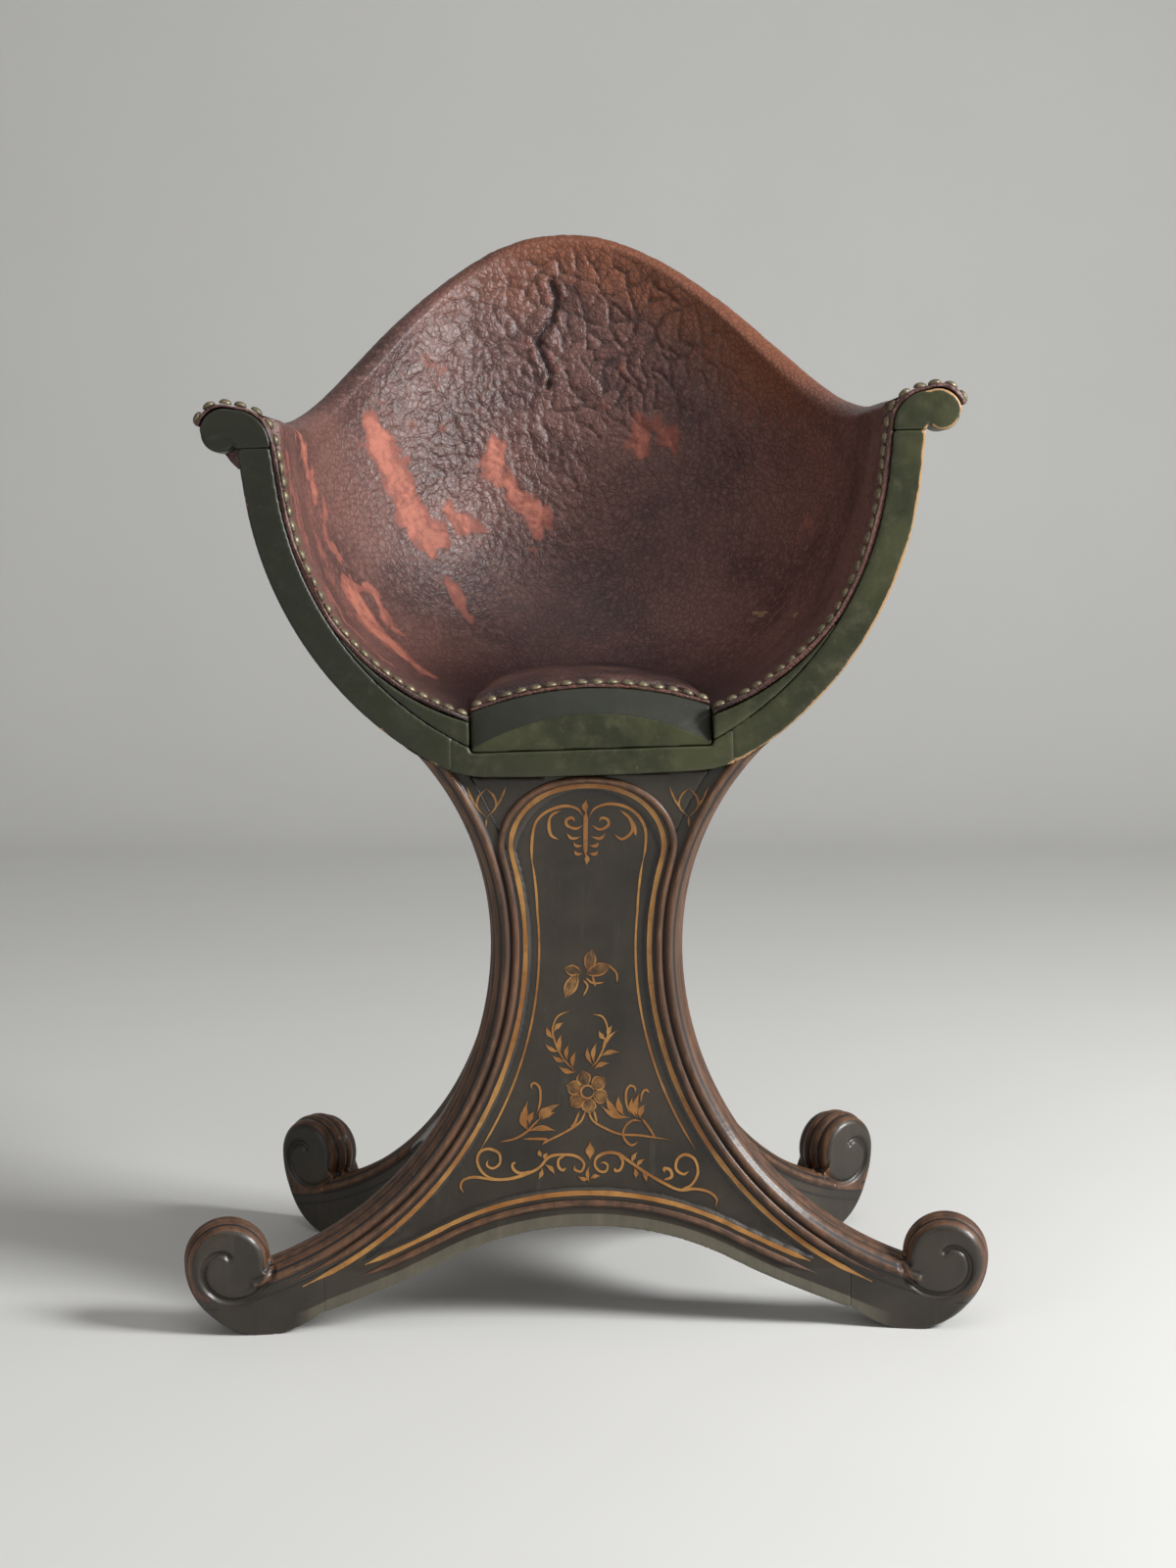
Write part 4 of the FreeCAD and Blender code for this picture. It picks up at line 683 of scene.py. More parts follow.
# %% Leg sizes
LEG_THICK = 0.037
LEG_WIDE = 0.020
WAIST_Z = 0.275
UPPER_R = 0.206
LOWER_R = 0.238
UPPER_TURN_DEG = 47.0
LOWER_TURN_DEG = 75.0
REEDS = 4
REED_HIGH = 0.0026
LEG_BARREL = 0.0025
BEAD_WIDE = 0.006
BEAD_HIGH = 0.0024
EYE_U = 0.192
ROLL_R = 0.031
ROLL_BARREL = 0.006
TOE_U = 0.172
SOLE_FLAT = 0.012
FRONT_LEG = (0.0665, HOOP_Y + 0.010, -8.0)
REAR_LEG = (0.070, HOOP_Y + 0.145, 36.0)


def edge_u(inset, z):
    """How far out the leg's outer edge lies at height z, or a line this far inside it."""
    radius = np.where(np.asarray(z) > WAIST_Z, UPPER_R, LOWER_R)
    reach = np.maximum((radius + inset) ** 2 - (np.asarray(z) - WAIST_Z) ** 2, 0)
    return radius - np.sqrt(reach)


def inset_of(u, z):
    """How far inside the leg's outer edge a point lies."""
    radius = np.where(z > WAIST_Z, UPPER_R, LOWER_R)
    return np.hypot(radius - u, z - WAIST_Z) - radius


head_wide = float(edge_u(0.0, RAIL_LOW_Z) - edge_u(LEG_WIDE, RAIL_LOW_Z))
print("leg is", round(1000 * head_wide, 1), "mm across at its head")

# %% The arch under the front
ARCH_HIGH = 0.074
ARCH_KNEE = (0.100, 0.052)
ARCH_TOE = (0.236, -0.001)
ARCH_SAG = 0.0035
BAND_HIGH = 0.010
BAND_END_X = 0.245
BAND_FADE = 0.07


def arch_z(x):
    """The front board's lower edge: a low arch that sweeps out into the feet."""
    x = np.abs(np.asarray(x, float))
    knee_x, knee_z = ARCH_KNEE
    toe_x, toe_z = ARCH_TOE
    drop = ARCH_HIGH - knee_z
    radius = (knee_x ** 2 + drop ** 2) / (2 * drop)
    crown = ARCH_HIGH - radius + np.sqrt(np.maximum(radius ** 2 - x ** 2, 0))
    share = (x - knee_x) / (toe_x - knee_x)
    sweep = knee_z + (toe_z - knee_z) * share - 4 * ARCH_SAG * share * (1 - share)
    return np.where(x < knee_x, crown, sweep)


def pale_band(points, soft):
    """How far a place lies in the pale band along the front's lower edge, from 0 to 1."""
    above = points[:, 2] - np.maximum(arch_z(points[:, 0]), 0)
    toward_toe = np.clip((BAND_END_X - np.abs(points[:, 0])) / BAND_FADE, 0, 1)
    return np.clip((BAND_HIGH - above) / soft, 0, 1) * toward_toe


print("arch from the middle to the toe, mm", (1000 * arch_z([0.0, 0.1, 0.2])).round(1).tolist())

# %% Leg section and sweep
def reed_wave(v):
    """0 between two reeds to 1 on the crest of one, across the leg's thickness."""
    return np.abs(np.sin(math.pi * REEDS * v / LEG_THICK))


def reed_reach(v, barrel):
    """The reeded edge across the leg's thickness: round reeds on a swelling edge."""
    return REED_HIGH * (reed_wave(v) ** 0.6 - 1) - barrel * (2 * v / LEG_THICK - 1) ** 2


def leg_outline():
    across = np.linspace(0, LEG_THICK, 81)
    edge = [(-reed_reach(v, LEG_BARREL), v) for v in across]
    start = REED_HIGH + LEG_BARREL
    face = []
    for d in np.linspace(LEG_WIDE, start, 40):
        in_bead = (d - start) % BEAD_WIDE / BEAD_WIDE
        raised = BEAD_HIGH * math.sin(math.pi * in_bead) ** 0.7 if d < start + BEAD_WIDE else 0.0
        face.append((d, -raised))
    back = [(d, LEG_THICK) for d in np.linspace(start, LEG_WIDE, 8)]
    return np.array(face[:-1] + edge + back[1:])


def leg_sweep():
    """The outline carried down the two arcs of the leg."""
    outline = leg_outline()
    rings = []
    upper = np.linspace(UPPER_TURN_DEG, 0, 30)[:-1]
    for turn_deg in np.concatenate([upper, np.linspace(0, -LOWER_TURN_DEG, 46)]):
        turn = math.radians(turn_deg)
        radius = UPPER_R if turn_deg > 0 else LOWER_R
        reach = radius + outline[:, 0]
        u = radius - reach * math.cos(turn)
        z = WAIST_Z + reach * math.sin(turn)
        rings.append(np.stack([u, outline[:, 1], z], 1))
    return grid_mesh("leg_sweep", np.array(rings))


print("leg outline", len(leg_outline()), "points")

# %% Foot
def roll_mesh(centre_u, centre_z, radius, from_deg, to_deg, tall=1.0, flat_deg=0.0):
    """A reeded roll, or a sector of one whose reeds grow out of a flat start."""
    across = np.linspace(0, LEG_THICK, 81)
    reeds = reed_reach(across, ROLL_BARREL)
    deep = np.concatenate([[0.0], across, [LEG_THICK]])
    rings = []
    for turn_deg in np.linspace(from_deg, to_deg, 73):
        grown = min((turn_deg - from_deg) / flat_deg, 1.0) if flat_deg else 1.0
        reach = np.concatenate([[0.0], radius + grown * reeds, [0.0]])
        turn = math.radians(turn_deg)
        u = centre_u + reach * math.cos(turn)
        z = centre_z + tall * reach * math.sin(turn)
        rings.append(np.stack([u, deep, z], 1))
    return grid_mesh("roll", np.array(rings))


def toe_mesh(eye_z, heel_u, heel_z):
    """The flat piece under the roll, from the sole back into the leg."""
    sole = TOE_U - SOLE_FLAT
    under = [(sole + (heel_u - sole) * t, heel_z * t ** 1.7) for t in np.linspace(0, 1, 12)]
    mid = LOWER_R + LEG_WIDE / 2
    back = np.linspace(heel_u, EYE_U - ROLL_R, 8)
    top = [(u, WAIST_Z - math.sqrt(mid ** 2 - (LOWER_R - u) ** 2)) for u in back]
    outline = [(TOE_U, 0.0)] + under + top + [(TOE_U, eye_z)]
    rings = [[(u, v, z) for u, z in outline] for v in np.linspace(0, LEG_THICK, 3)]
    return grid_mesh("toe", np.array(rings))


# %% Spiral on the roll's face
SPIRAL_WIDE = 0.0034
SPIRAL_DEEP = 0.0030
FACE_DEEP = 0.006


def spiral_line(eye_z):
    """From the notch beside the leg, under the eye and in to it."""
    turns = np.linspace(0, 1, 120)
    angle = math.pi * (1.0 + 1.55 * turns)
    radius = ROLL_R * (0.86 * (1 - turns) ** 0.9 + 0.20)
    return EYE_U + radius * np.cos(angle), eye_z + radius * np.sin(angle)


def fading(gap, wide):
    """1 where the gap is nothing, fading out over about this width."""
    return np.exp(-(gap / wide) ** 2)


def cut_spiral(points, eye_z):
    """Presses the points near the spiral into the roll's face."""
    line_u, line_z = spiral_line(eye_z)
    from_eye = np.hypot(points[:, 0] - EYE_U, points[:, 2] - eye_z)
    near = (points[:, 1] < FACE_DEEP) & (from_eye < ROLL_R * 1.1)
    gap = np.hypot(points[near, 0, None] - line_u, points[near, 2, None] - line_z).min(1)
    depth = SPIRAL_DEEP * fading(gap, SPIRAL_WIDE * 0.6)
    points[near, 1] += depth * np.clip(1 - points[near, 1] / FACE_DEEP, 0, 1)
    return points


print("spiral", round(1000 * float(np.hypot(*np.diff(spiral_line(0.0))).sum())), "mm long")

# %% [markdown]
# ## Wear and painted shade on the legs
# Shoes and brooms rub the reeds' crests, the beads and the soles back to bare wood, and the grooves are painted
# black, for old polish and for shade. The arrises found on the mesh are a start, but the reeds are too round for
# them, so crests and grooves are worked out from the same wave that shaped the reeds.

# %% Wear on the legs
GROOVES = (0.0046, 0.0118, 0.0190)
BEAD_CREST = 0.0082
NOTCH = (0.162, 0.050)
CHIP_R = 0.004


def groove_polish_and_shade(points, inset, from_eye):
    """Dark grooves, for old polish and painted shade: along the face, and between the reeds of the edge."""
    grooves = sum(fading(inset - at, 0.0009) for at in GROOVES)
    on_face = (points[:, 1] < 0.005) & (from_eye > ROLL_R)
    beside_face = (inset < 0.004) | (from_eye > ROLL_R * 0.8)
    between = np.clip(1 - reed_wave(points[:, 1]) / 0.5, 0, 1) * beside_face
    inside = (points[:, 1] > 0.004) & (points[:, 1] < LEG_THICK - 0.004)
    return np.clip(0.9 * grooves * on_face + between * inside, 0, 1)


def note_leg_wear(mesh, eye_z):
    points = points_of(mesh)
    u, v, z = points.T
    inset = inset_of(u, z)
    from_eye = np.hypot(u - EYE_U, z - eye_z)
    on_face = (np.abs(v - LEG_THICK / 2) > LEG_THICK / 2 - 0.002) & (from_eye < ROLL_R * 0.86)
    along = np.clip((0.0145 - inset) / 0.004, 0, 1)
    on_top = np.clip(0.45 + (z - eye_z) / 0.03, 0.1, 1) * (from_eye < ROLL_R * 1.15)
    note(mesh, "reeded", np.where(on_face, 0, np.maximum(along, on_top)))
    # grooves get old polish and painted shade
    note(mesh, "hollow", np.maximum(values_of(mesh, "hollow"), groove_polish_and_shade(points, inset, from_eye)))
    touched = (inset < 0.014) | (from_eye < ROLL_R * 1.3)
    crest = reed_wave(v) ** 6 * ((inset < 0.003) | (from_eye > ROLL_R * 0.8))
    on_bead = fading(inset - BEAD_CREST, 0.0016) * (v < 0.001)
    rubbed = np.maximum(values_of(mesh, "edge"), 0.62 * np.maximum(crest, on_bead)) * touched
    at_notch = fading(np.hypot(u - NOTCH[0], z - NOTCH[1]), CHIP_R)
    at_sole = 0.8 * np.clip(1 - z / CHIP_R, 0, 1)
    note(mesh, "edge", np.maximum(rubbed, np.maximum(at_notch, at_sole)))


# %% [markdown]
# ## Setting the legs
# The joiner saws the legs' heads to fit the round underside of the shell. A boolean cut would do the same but
# often fails on dense meshes. Here each point that would stand in the shell is brought down to where a
# straight line from below meets it.

# %% Setting the legs under the shell
SEAM = 0.0002
HEAD_Z = 0.385
BELOW_Z = 0.37
FRONT_SHY = 0.003
SHELL_NODES = [f"back_stave_{k}" for k in range(1, 9)] + ["left_side_stave", "right_side_stave", "shell_floor"]


def surface_tree(meshes):
    """The faces of some meshes, ready to be asked where a straight line meets them."""
    places, faces = [], []
    for mesh in meshes:
        start = len(places)
        places += points_of(mesh).tolist()
        faces += [[start + corner for corner in face.vertices] for face in mesh.polygons]
    return BVHTree.FromPolygons(places, faces)


hoop_meshes = [hoop[name].data for name in ("front_rail", "left_arm", "right_arm")]
shell_tree = surface_tree([nodes[name].data for name in SHELL_NODES] + hoop_meshes)


def scribed_under_shell(points):
    """Points that would stand in the shell come down to its underside."""
    for point in points:
        if point[2] > HEAD_Z:
            below = (point[0], max(point[1], HOOP_Y + FRONT_SHY), BELOW_Z)
            met = shell_tree.ray_cast(below, (0, 0, 1))[0]
            point[2] = min(point[2], met.z - SEAM) if met else point[2]
    return points


def place_leg(points, leg, mirrored):
    x, y, turn_deg = leg
    turn = np.array(Matrix.Rotation(math.radians(turn_deg), 3, "Z"))
    placed = points @ turn.T + np.array([x, y, 0])
    return placed * np.array([-1, 1, 1]) if mirrored else placed


print("legs are scribed to", len(SHELL_NODES) + len(hoop_meshes), "pieces")

# %% Making the legs
LEG_VOXEL = 0.0011
FOOT_FLAT = 0.0005
TOE_FLAT_DEG = 60.0
LEGS = {  # place, height of the roll's eye, where the heel meets the leg
    "front": (FRONT_LEG, 0.051, 0.124, 0.015),
    "rear": (REAR_LEG, 0.063, 0.100, 0.056),
}
LACQUERED = (lacquer, "chair", "pedestal_lacquer")


def make_leg_mesh(name, eye_z, heel_u, heel_z):
    toe_r = EYE_U + ROLL_R - TOE_U
    parts = [
        leg_sweep(),
        roll_mesh(EYE_U, eye_z, ROLL_R, 0, 360),
        roll_mesh(TOE_U, eye_z, toe_r, -90, 0, (eye_z + FOOT_FLAT) / toe_r, TOE_FLAT_DEG),
        toe_mesh(eye_z, heel_u, heel_z),
    ]
    mesh = softened(name, joined_mesh(name, parts), LEG_VOXEL, 1)
    note_wear(mesh)
    note_leg_wear(mesh, eye_z)
    points = cut_spiral(points_of(mesh), eye_z)
    points[:, 2] = np.maximum(points[:, 2], 0.0)
    return mesh, points


leg_meshes = {}
for end, (leg, *foot) in LEGS.items():
    mesh, points = make_leg_mesh(end + "_leg_wood", *foot)
    for side in ("right", "left"):
        own = mesh.copy()
        own.name = f"{end}_{side}_leg_wood"
        placed = scribed_under_shell(place_leg(points, leg, side == "left"))
        move_points(own, placed)
        note(own, "band", pale_band(placed, 0.003) * (end == "front"))
        if side == "left":
            own.flip_normals()
        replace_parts(new_piece(own.name, own, *LACQUERED), f"{end}_{side}_leg")
        leg_meshes[end, side] = own
    print(end, "legs", len(mesh.polygons), "faces each")

# %% [markdown]
# ## Pedestal boards
# Four hollow boards close the sides between the legs. The front one has a sunk field and an arched foot with
# a paler, rubbed edge band. They could be bent planes, but they are sawn from thick stuff and show their
# edges below, so the CAD solids are kept and softened. The front board's sides are then pushed a little into
# the legs, because paint has filled that seam.

# %% Boards
FRONT_VOXEL = 0.0013
SEAM_COVER = 0.0016
BOARD_HEAD = 0.008
board = carved("front_board", "front_panel", FRONT_VOXEL, 1, LACQUERED).data
points = points_of(board)
outward = np.clip(normals_of(board)[:, 0] * np.sign(points[:, 0]), 0, 1) ** 0.5
points[:, 0] += np.sign(points[:, 0]) * SEAM_COVER * outward
points = unsettle(points)
sharp_low, lift = hoop_low(np.abs(points[:, 0]))
points[:, 2] += lift * np.clip((points[:, 2] - sharp_low) / BOARD_HEAD + 1, 0, 1)
points = settle(points)
move_points(board, points)
near_arch = np.clip(1.5 - (points[:, 2] - arch_z(points[:, 0])) / 0.003, 0, 0.7)
note(board, "reeded", 0)
note(board, "band", pale_band(points, 0.002))
note(board, "edge", values_of(board, "edge") * near_arch)
for node in ("rear_panel", "left_side_panel", "right_side_panel"):
    side_board = carved(node + "_wood", node, WOOD_VOXEL, 3, LACQUERED).data
    note(side_board, "edge", 0.3 * values_of(side_board, "edge"))
    note(side_board, "reeded", 0)
    note(side_board, "band", 0)

# %% [markdown]
# ## Painted lines and flowers
# The front is lined in ochre gold: a broad line beside the legs that arches over the head of the board, a
# thin one inside it, one over the lower arch, and a painted column of scrolls, sprigs and a flower. The
# strokes could be an image, but an image can't be read from disk here. Each is a thin closed strip that
# lies on the wood and swells and thins like a brush mark.

# %% Where the front face lies
FIELD_SPRING_Z = 0.345
PAINT_PROUD = 0.00035
PAINT_DEEP = 0.0003
front_turn = math.radians(-FRONT_LEG[2])
front_tree = surface_tree([board, leg_meshes["front", "left"], leg_meshes["front", "right"]])


def side_x(inset, z):
    """Front view: a line this far inside the leg's outer edge."""
    return FRONT_LEG[0] + edge_u(inset, z) * math.cos(front_turn)


def front_y(x, z):
    """Where the front lies, found by looking straight back at it; narrow seams are passed over."""
    met = [front_tree.ray_cast((px, HOOP_Y - 0.1, pz), (0, 1, 0))[0] for px, pz in zip(x, z)]
    y = np.array([place.y if place else HOOP_Y for place in met])
    near = np.pad(y, 2, mode="edge")
    return np.median([near[k:k + len(y)] for k in range(5)], axis=0)


print("the front lies at y", front_y([0.0, 0.0], [0.15, 0.30]).round(4).tolist())

# %% Noise over points
NOISE_CELLS = 24


def mottle(points, size, seed):
    """Smooth noise from 0 to 1 over points, with lumps of about this size."""
    lattice = np.random.default_rng(seed).random((NOISE_CELLS,) * 3)
    where = points / size
    base = np.floor(where).astype(int)
    part = where - base
    part = part * part * (3 - 2 * part)
    value = np.zeros(len(points))
    for corner in np.ndindex(2, 2, 2):
        weight = np.prod(np.where(np.array(corner), part, 1 - part), axis=1)
        cell = (base + corner) % NOISE_CELLS
        value += weight * lattice[cell[:, 0], cell[:, 1], cell[:, 2]]
    return value


print("noise at three places", mottle(np.eye(3), 0.4, 1).round(2).tolist())

# %% A soft line through a few points
def smooth_line(knots, steps=40):
    """A soft curve through a few points."""
    knots = np.array(knots, float)
    padded = np.vstack([2 * knots[0] - knots[1], knots, 2 * knots[-1] - knots[-2]])
    spans = len(knots) - 1
    places = np.linspace(0, spans, steps)
    index = np.minimum(places.astype(int), spans - 1)
    t = (places - index)[:, None]
    p0, p1, p2, p3 = (padded[index + k] for k in range(4))
    square = (2 * p0 - 5 * p1 + 4 * p2 - p3) * t ** 2
    cube = (3 * p1 - p0 - 3 * p2 + p3) * t ** 3
    return 0.5 * (2 * p1 + (p2 - p0) * t + square + cube)


print("five places on a soft line", smooth_line([(0, 0), (10, 4), (20, 0)], 5).round(1).tolist())

# %% Brush strokes
MM = 0.001
LAYER_STEP = 1.5e-6
SHARP_DEG = 50


class Brush:
    """Gathers strokes, each a thin closed strip in front view, into one mesh."""

    def __init__(self):
        self.points, self.faces, self.cover, self.layer = [], [], [], 0

    def stroke(self, line, wide, taper=0.6, both=False, cover=0.75):
        """One stroke along a line; both lays its mirror image too."""
        line = np.asarray(line, float)
        self.layer += 1
        for sign in ((1, -1) if both else (1,)):
            path = line * np.array([sign, 1])
            along = np.gradient(path, axis=0)
            along /= np.linalg.norm(along, axis=1)[:, None] + 1e-12
            share = np.linspace(0, 1, len(path))
            swell = (1 - taper) + taper * np.sin(math.pi * share) ** 0.7
            swell *= np.clip(np.minimum(share, 1 - share) * len(path) / 5, 0.2, 1)
            swell *= 0.85 + 0.3 * mottle(np.c_[path, np.zeros(len(path))], 0.009, 5)
            half = (wide / 2 * swell)[:, None] * np.c_[-along[:, 1], along[:, 0]]
            self.lay(path + half, path - half, cover)

    def lay(self, first, second, cover):
        """A strip between two edges: its front just proud of the wood, its back a little inside."""
        sides = [(edge, front_y(edge[:, 0], edge[:, 1])) for edge in (first, second)]
        proud = PAINT_PROUD + LAYER_STEP * self.layer
        rows = [np.c_[edge[:, 0], y - proud, edge[:, 1]] for edge, y in sides]
        rows += [np.c_[edge[:, 0], y + PAINT_DEEP, edge[:, 1]] for edge, y in sides[::-1]]
        index = len(self.points) + np.arange(4 * len(first)).reshape(-1, 4)
        self.points += np.stack(rows, 1).reshape(-1, 3).tolist()
        self.cover += [cover] * index.size
        self.faces += ring_faces(index)

    def lines(self, lines, wide, taper, steps=40, both=False, cover=0.75):
        """Strokes through knots in millimetres."""
        for line in lines:
            self.stroke(smooth_line(line, steps) * MM, wide, taper, both, cover)

    def leaf(self, foot, tip, wide, bend=0.12, cover=0.7):
        """One press of the brush, from foot to tip."""
        foot, tip = np.array(foot, float), np.array(tip, float)
        t = np.linspace(0, 1, 12)[:, None]
        reach = tip - foot
        sideways = np.array([-reach[1], reach[0]]) * bend * np.sin(math.pi * t)
        self.stroke((foot + reach * t + sideways) * MM, wide, 0.95, False, cover)

    def leaves(self, leaves, wide):
        for foot, tip in leaves:
            self.leaf(foot, tip, wide)

    def petal(self, foot, tip, wide):
        """A thin fill with a firm outline and a dark vein."""
        foot, tip = np.array(foot, float), np.array(tip, float)
        reach = tip - foot
        out = np.array([-reach[1], reach[0]]) / np.linalg.norm(reach) * wide / MM
        self.leaf(foot, tip, wide, 0.0, 0.38)
        for side in (-0.5, 0.5):
            knots = [foot, foot + 0.28 * reach + 0.8 * side * out, foot + 0.62 * reach + side * out, tip]
            self.lines([knots], 0.0010, 0.3, 16, False, 0.85)
        self.stroke(np.array([foot, foot + 0.75 * reach]) * MM, 0.0007, 0.0, False, -0.6)

    def mesh(self, name):
        made = bpy.data.meshes.new(name)
        made.from_pydata(self.points, [], self.faces)
        made.set_sharp_from_angle(angle=math.radians(SHARP_DEG))
        note(made, "cover", np.array(self.cover))
        return made


# %% Gold lines
LINE_INSET = 0.0224
THIN_INSET = 0.0322
THIN_LOW_Z = 0.128
THIN_HIGH_Z = 0.341


def arched_line(inset, head_z, low_z, steps=150, square=2.15):
    """Up beside the leg, over the head of the board, and down the other side."""
    heights = np.linspace(low_z, FIELD_SPRING_Z, steps)
    side = np.c_[side_x(inset, heights), heights]
    half = side[-1, 0]
    turn = np.linspace(0, math.pi, steps)
    over = np.c_[
        half * np.sign(np.cos(turn)) * np.abs(np.cos(turn)) ** (2 / square),
        FIELD_SPRING_Z + (head_z - FIELD_SPRING_Z) * np.sin(turn) ** (2 / square),
    ]
    line = np.vstack([side, over[1:-1], side[::-1] * np.array([-1, 1])])
    for _ in range(24):
        line[1:-1] = (line[:-2] + 2 * line[1:-1] + line[2:]) / 4
    return line


def arch_line(lift, reach):
    x = np.linspace(-reach, reach, 160)
    return np.c_[x, arch_z(x) + lift]


gold = Brush()
gold.stroke(arched_line(LINE_INSET, 0.3919, 0.034), 0.0034, 0.0)
gold.stroke(arch_line(0.0236, 0.160), 0.0032, 0.1)
heights = np.linspace(THIN_LOW_Z, THIN_HIGH_Z, 90)
inset = THIN_INSET + 0.0030 * np.clip((heights - 0.300) / 0.036, 0, 1)
gold.stroke(np.c_[side_x(inset, heights), heights], 0.0016, 0.1, True)
print("gold lines", len(gold.faces), "faces")

# %% [markdown]
# ## The painted column
# Scrolls, a sprig, ferns, a flower and a running border are the common stock of such painters. They were done
# freehand, so left and right differ. The knots below are millimetres in front view; a leaf is one press of
# the brush from its foot to its tip.

# %% Scrolls under the arch
scrolls = [
    [(-3, 369), (-7.5, 375), (-17, 377), (-29, 373), (-36.5, 366), (-39.2, 356), (-39.9, 345), (-39.4, 336)],
    [(1, 369), (5.5, 375.5), (16, 378.5), (28, 376), (37, 369), (41.5, 359), (41.3, 346), (39.4, 336)],
    [(-3, 363), (-8.5, 360.7), (-14.5, 363), (-15, 367), (-11, 368.5), (-9, 365.5)],
    [(3, 363), (9, 360), (14.7, 363), (14.4, 367), (10, 368.4), (8.2, 365.4)],
    [(-19, 374), (-26, 370), (-27.6, 363), (-26, 356), (-20.6, 352.7)],
    [(23, 374), (30, 368), (32, 359), (25, 353), (19, 356.5)],
    [(29, 370), (33.3, 362.6), (34.5, 355)],
]
ribs = [
    [(3, 355), (10, 353.5), (14, 357.5)],
    [(2, 348.3), (7, 348.2), (9, 351)],
    [(2, 342.6), (6.5, 342.3), (8.5, 345)],
]
tulip = [
    [(72, 369), (78.5, 376.5), (77.5, 384), (72, 390)],
    [(72, 369), (65.5, 376.5), (66.5, 384), (72, 390)],
    [(76, 372.5), (82, 382), (86, 391.5)],
    [(68, 372.5), (62, 382), (58, 391.5)],
    [(72, 369), (72.5, 362)],
]
gold.lines(scrolls, 0.0021, 0.45)
gold.lines([[(-1.2, 373), (-1.4, 356), (-1.4, 341)]], 0.0034, 0.4)
gold.leaf((-0.5, 371), (-0.5, 382), 0.0042)
gold.leaf((-1.4, 343), (-1.3, 334), 0.0036)
for rib in ribs:
    gold.lines([[(side * x - 1, z) for x, z in rib] for side in (-1, 1)], 0.0022, 0.7, 16)
gold.lines(tulip, 0.0015, 0.4, 20, True, 0.5)
print("with the scrolls", len(gold.faces), "faces")

# %% Sprig, ferns and flower
sprig = [
    ((0.8, 257), (3.1, 273), 0.0074), ((-1.3, 255), (17, 261.5), 0.0078),
    ((-4, 256), (-17, 259.5), 0.0066), ((-7, 256), (-16.3, 238), 0.0078),
]
sprig_stems = [
    [(15, 261.7), (20.7, 256), (21.4, 249)], [(-1.3, 252.6), (4, 248.6), (12, 249)],
    [(-3, 251), (0.1, 246.3), (-3, 239)], [(3.6, 254), (5.7, 246)],
]
for foot, tip, wide in sprig:
    gold.petal(foot, tip, wide)
gold.lines(sprig_stems, 0.0013, 0.4)
fern_stems = [
    [(-8.5, 184), (-16, 192), (-21.5, 201), (-25, 212), (-24.3, 219), (-20.8, 225), (-13, 228.5)],
    [(2.5, 187.4), (6.7, 191.7), (11, 200), (14.5, 209.4), (13.8, 218.7), (10.3, 224.4), (4, 225.8)],
]
fern_leaves = [
    ((-8.5, 184), (-20.8, 188.3)), ((-10.2, 186), (-8.1, 199.6)), ((-15.2, 192), (-25.7, 196.4)),
    ((-14.4, 192), (-13.3, 204.6)), ((-20, 199), (-30.7, 204.7)), ((-19, 198), (-18.7, 211.7)),
    ((-24, 208), (-29.7, 217.5)), ((-24.3, 213), (-17.2, 220)), ((3.9, 189), (0, 203)),
    ((5, 190), (7, 205.9)), ((8.9, 195), (23.7, 198)), ((10.3, 198), (21.6, 214.3)),
    ((13.8, 207), (8.2, 214.4)), ((14.8, 209), (18.1, 218)), ((4.5, 186), (15.9, 190.2)),
]
gold.lines(fern_stems, 0.0012, 0.4)
gold.leaves(fern_leaves, 0.0032)
FLOWER = np.array((-0.1, 169.7))
for petal in ((-3.2, 181), (8.8, 176.8), (8.8, 166.5), (1, 160), (-8.1, 163), (-11.7, 173.3)):
    out = np.array(petal) - FLOWER
    out /= np.linalg.norm(out)
    gold.petal(FLOWER + 4.2 * out, FLOWER + 16.0 * out, 0.0092)
ring = np.radians(np.linspace(0, 360, 30))
gold.stroke((FLOWER + 4.6 * np.c_[np.cos(ring), np.sin(ring)]) * MM, 0.0013, 0.0)
print("with the flower", len(gold.faces), "faces")

# %% Stems with leaves
stems = [
    [(-1, 157), (-4.6, 149), (-10.3, 144.3), (-18.8, 139.4), (-28.7, 134.6), (-33, 131.8)],
    [(-6, 155.6), (-9, 147.8), (-12.4, 143.6)],
    [(-63.3, 134), (-52.7, 136.2), (-44.2, 141), (-38.6, 146.6), (-34.3, 150.8)],
    [(-47, 136), (-34.4, 136), (-29.4, 135.3), (-33, 131.8)],
    [(-37, 153.7), (-34.3, 162), (-34.3, 172), (-37.8, 176.3), (-40.6, 175), (-40, 172)],
    [(0.3, 157), (3.8, 149), (12.3, 143.5), (23.6, 139), (37.8, 138), (59, 134.7)],
    [(4.6, 156), (6.7, 147.7)],
    [(30.7, 153), (28, 161.7), (28, 170), (30.8, 174), (34.3, 172.3), (34.3, 168.8)],
    [(38.5, 161.7), (39.3, 168), (42, 171), (44.6, 168.7)],
    [(39.2, 150.3), (43.5, 144.7), (46.3, 140.4), (49, 135.4)],
    [(39.2, 148.2), (32.2, 148.7), (26.5, 143.4), (26.2, 136.3), (31.4, 131), (36.4, 133.4)],
]
stem_leaves = [
    ((-42.8, 142), (-47.7, 156.6)), ((-42.8, 143), (-42.8, 164.3)), ((-42, 146), (-38.3, 156)),
    ((-35, 149), (-28.7, 159.5)), ((-34.3, 149), (-19.5, 161)), ((-33, 149.5), (-23, 155)),
    ((-44, 141), (-23, 141.6)), ((30.7, 151), (9.5, 159.7)), ((25, 151.8), (13, 167.5)),
    ((27, 151.5), (22.3, 167.4)), ((35, 151), (32.2, 166)), ((36, 151), (37.8, 169)), ((37.8, 150), (41.8, 161)),
]
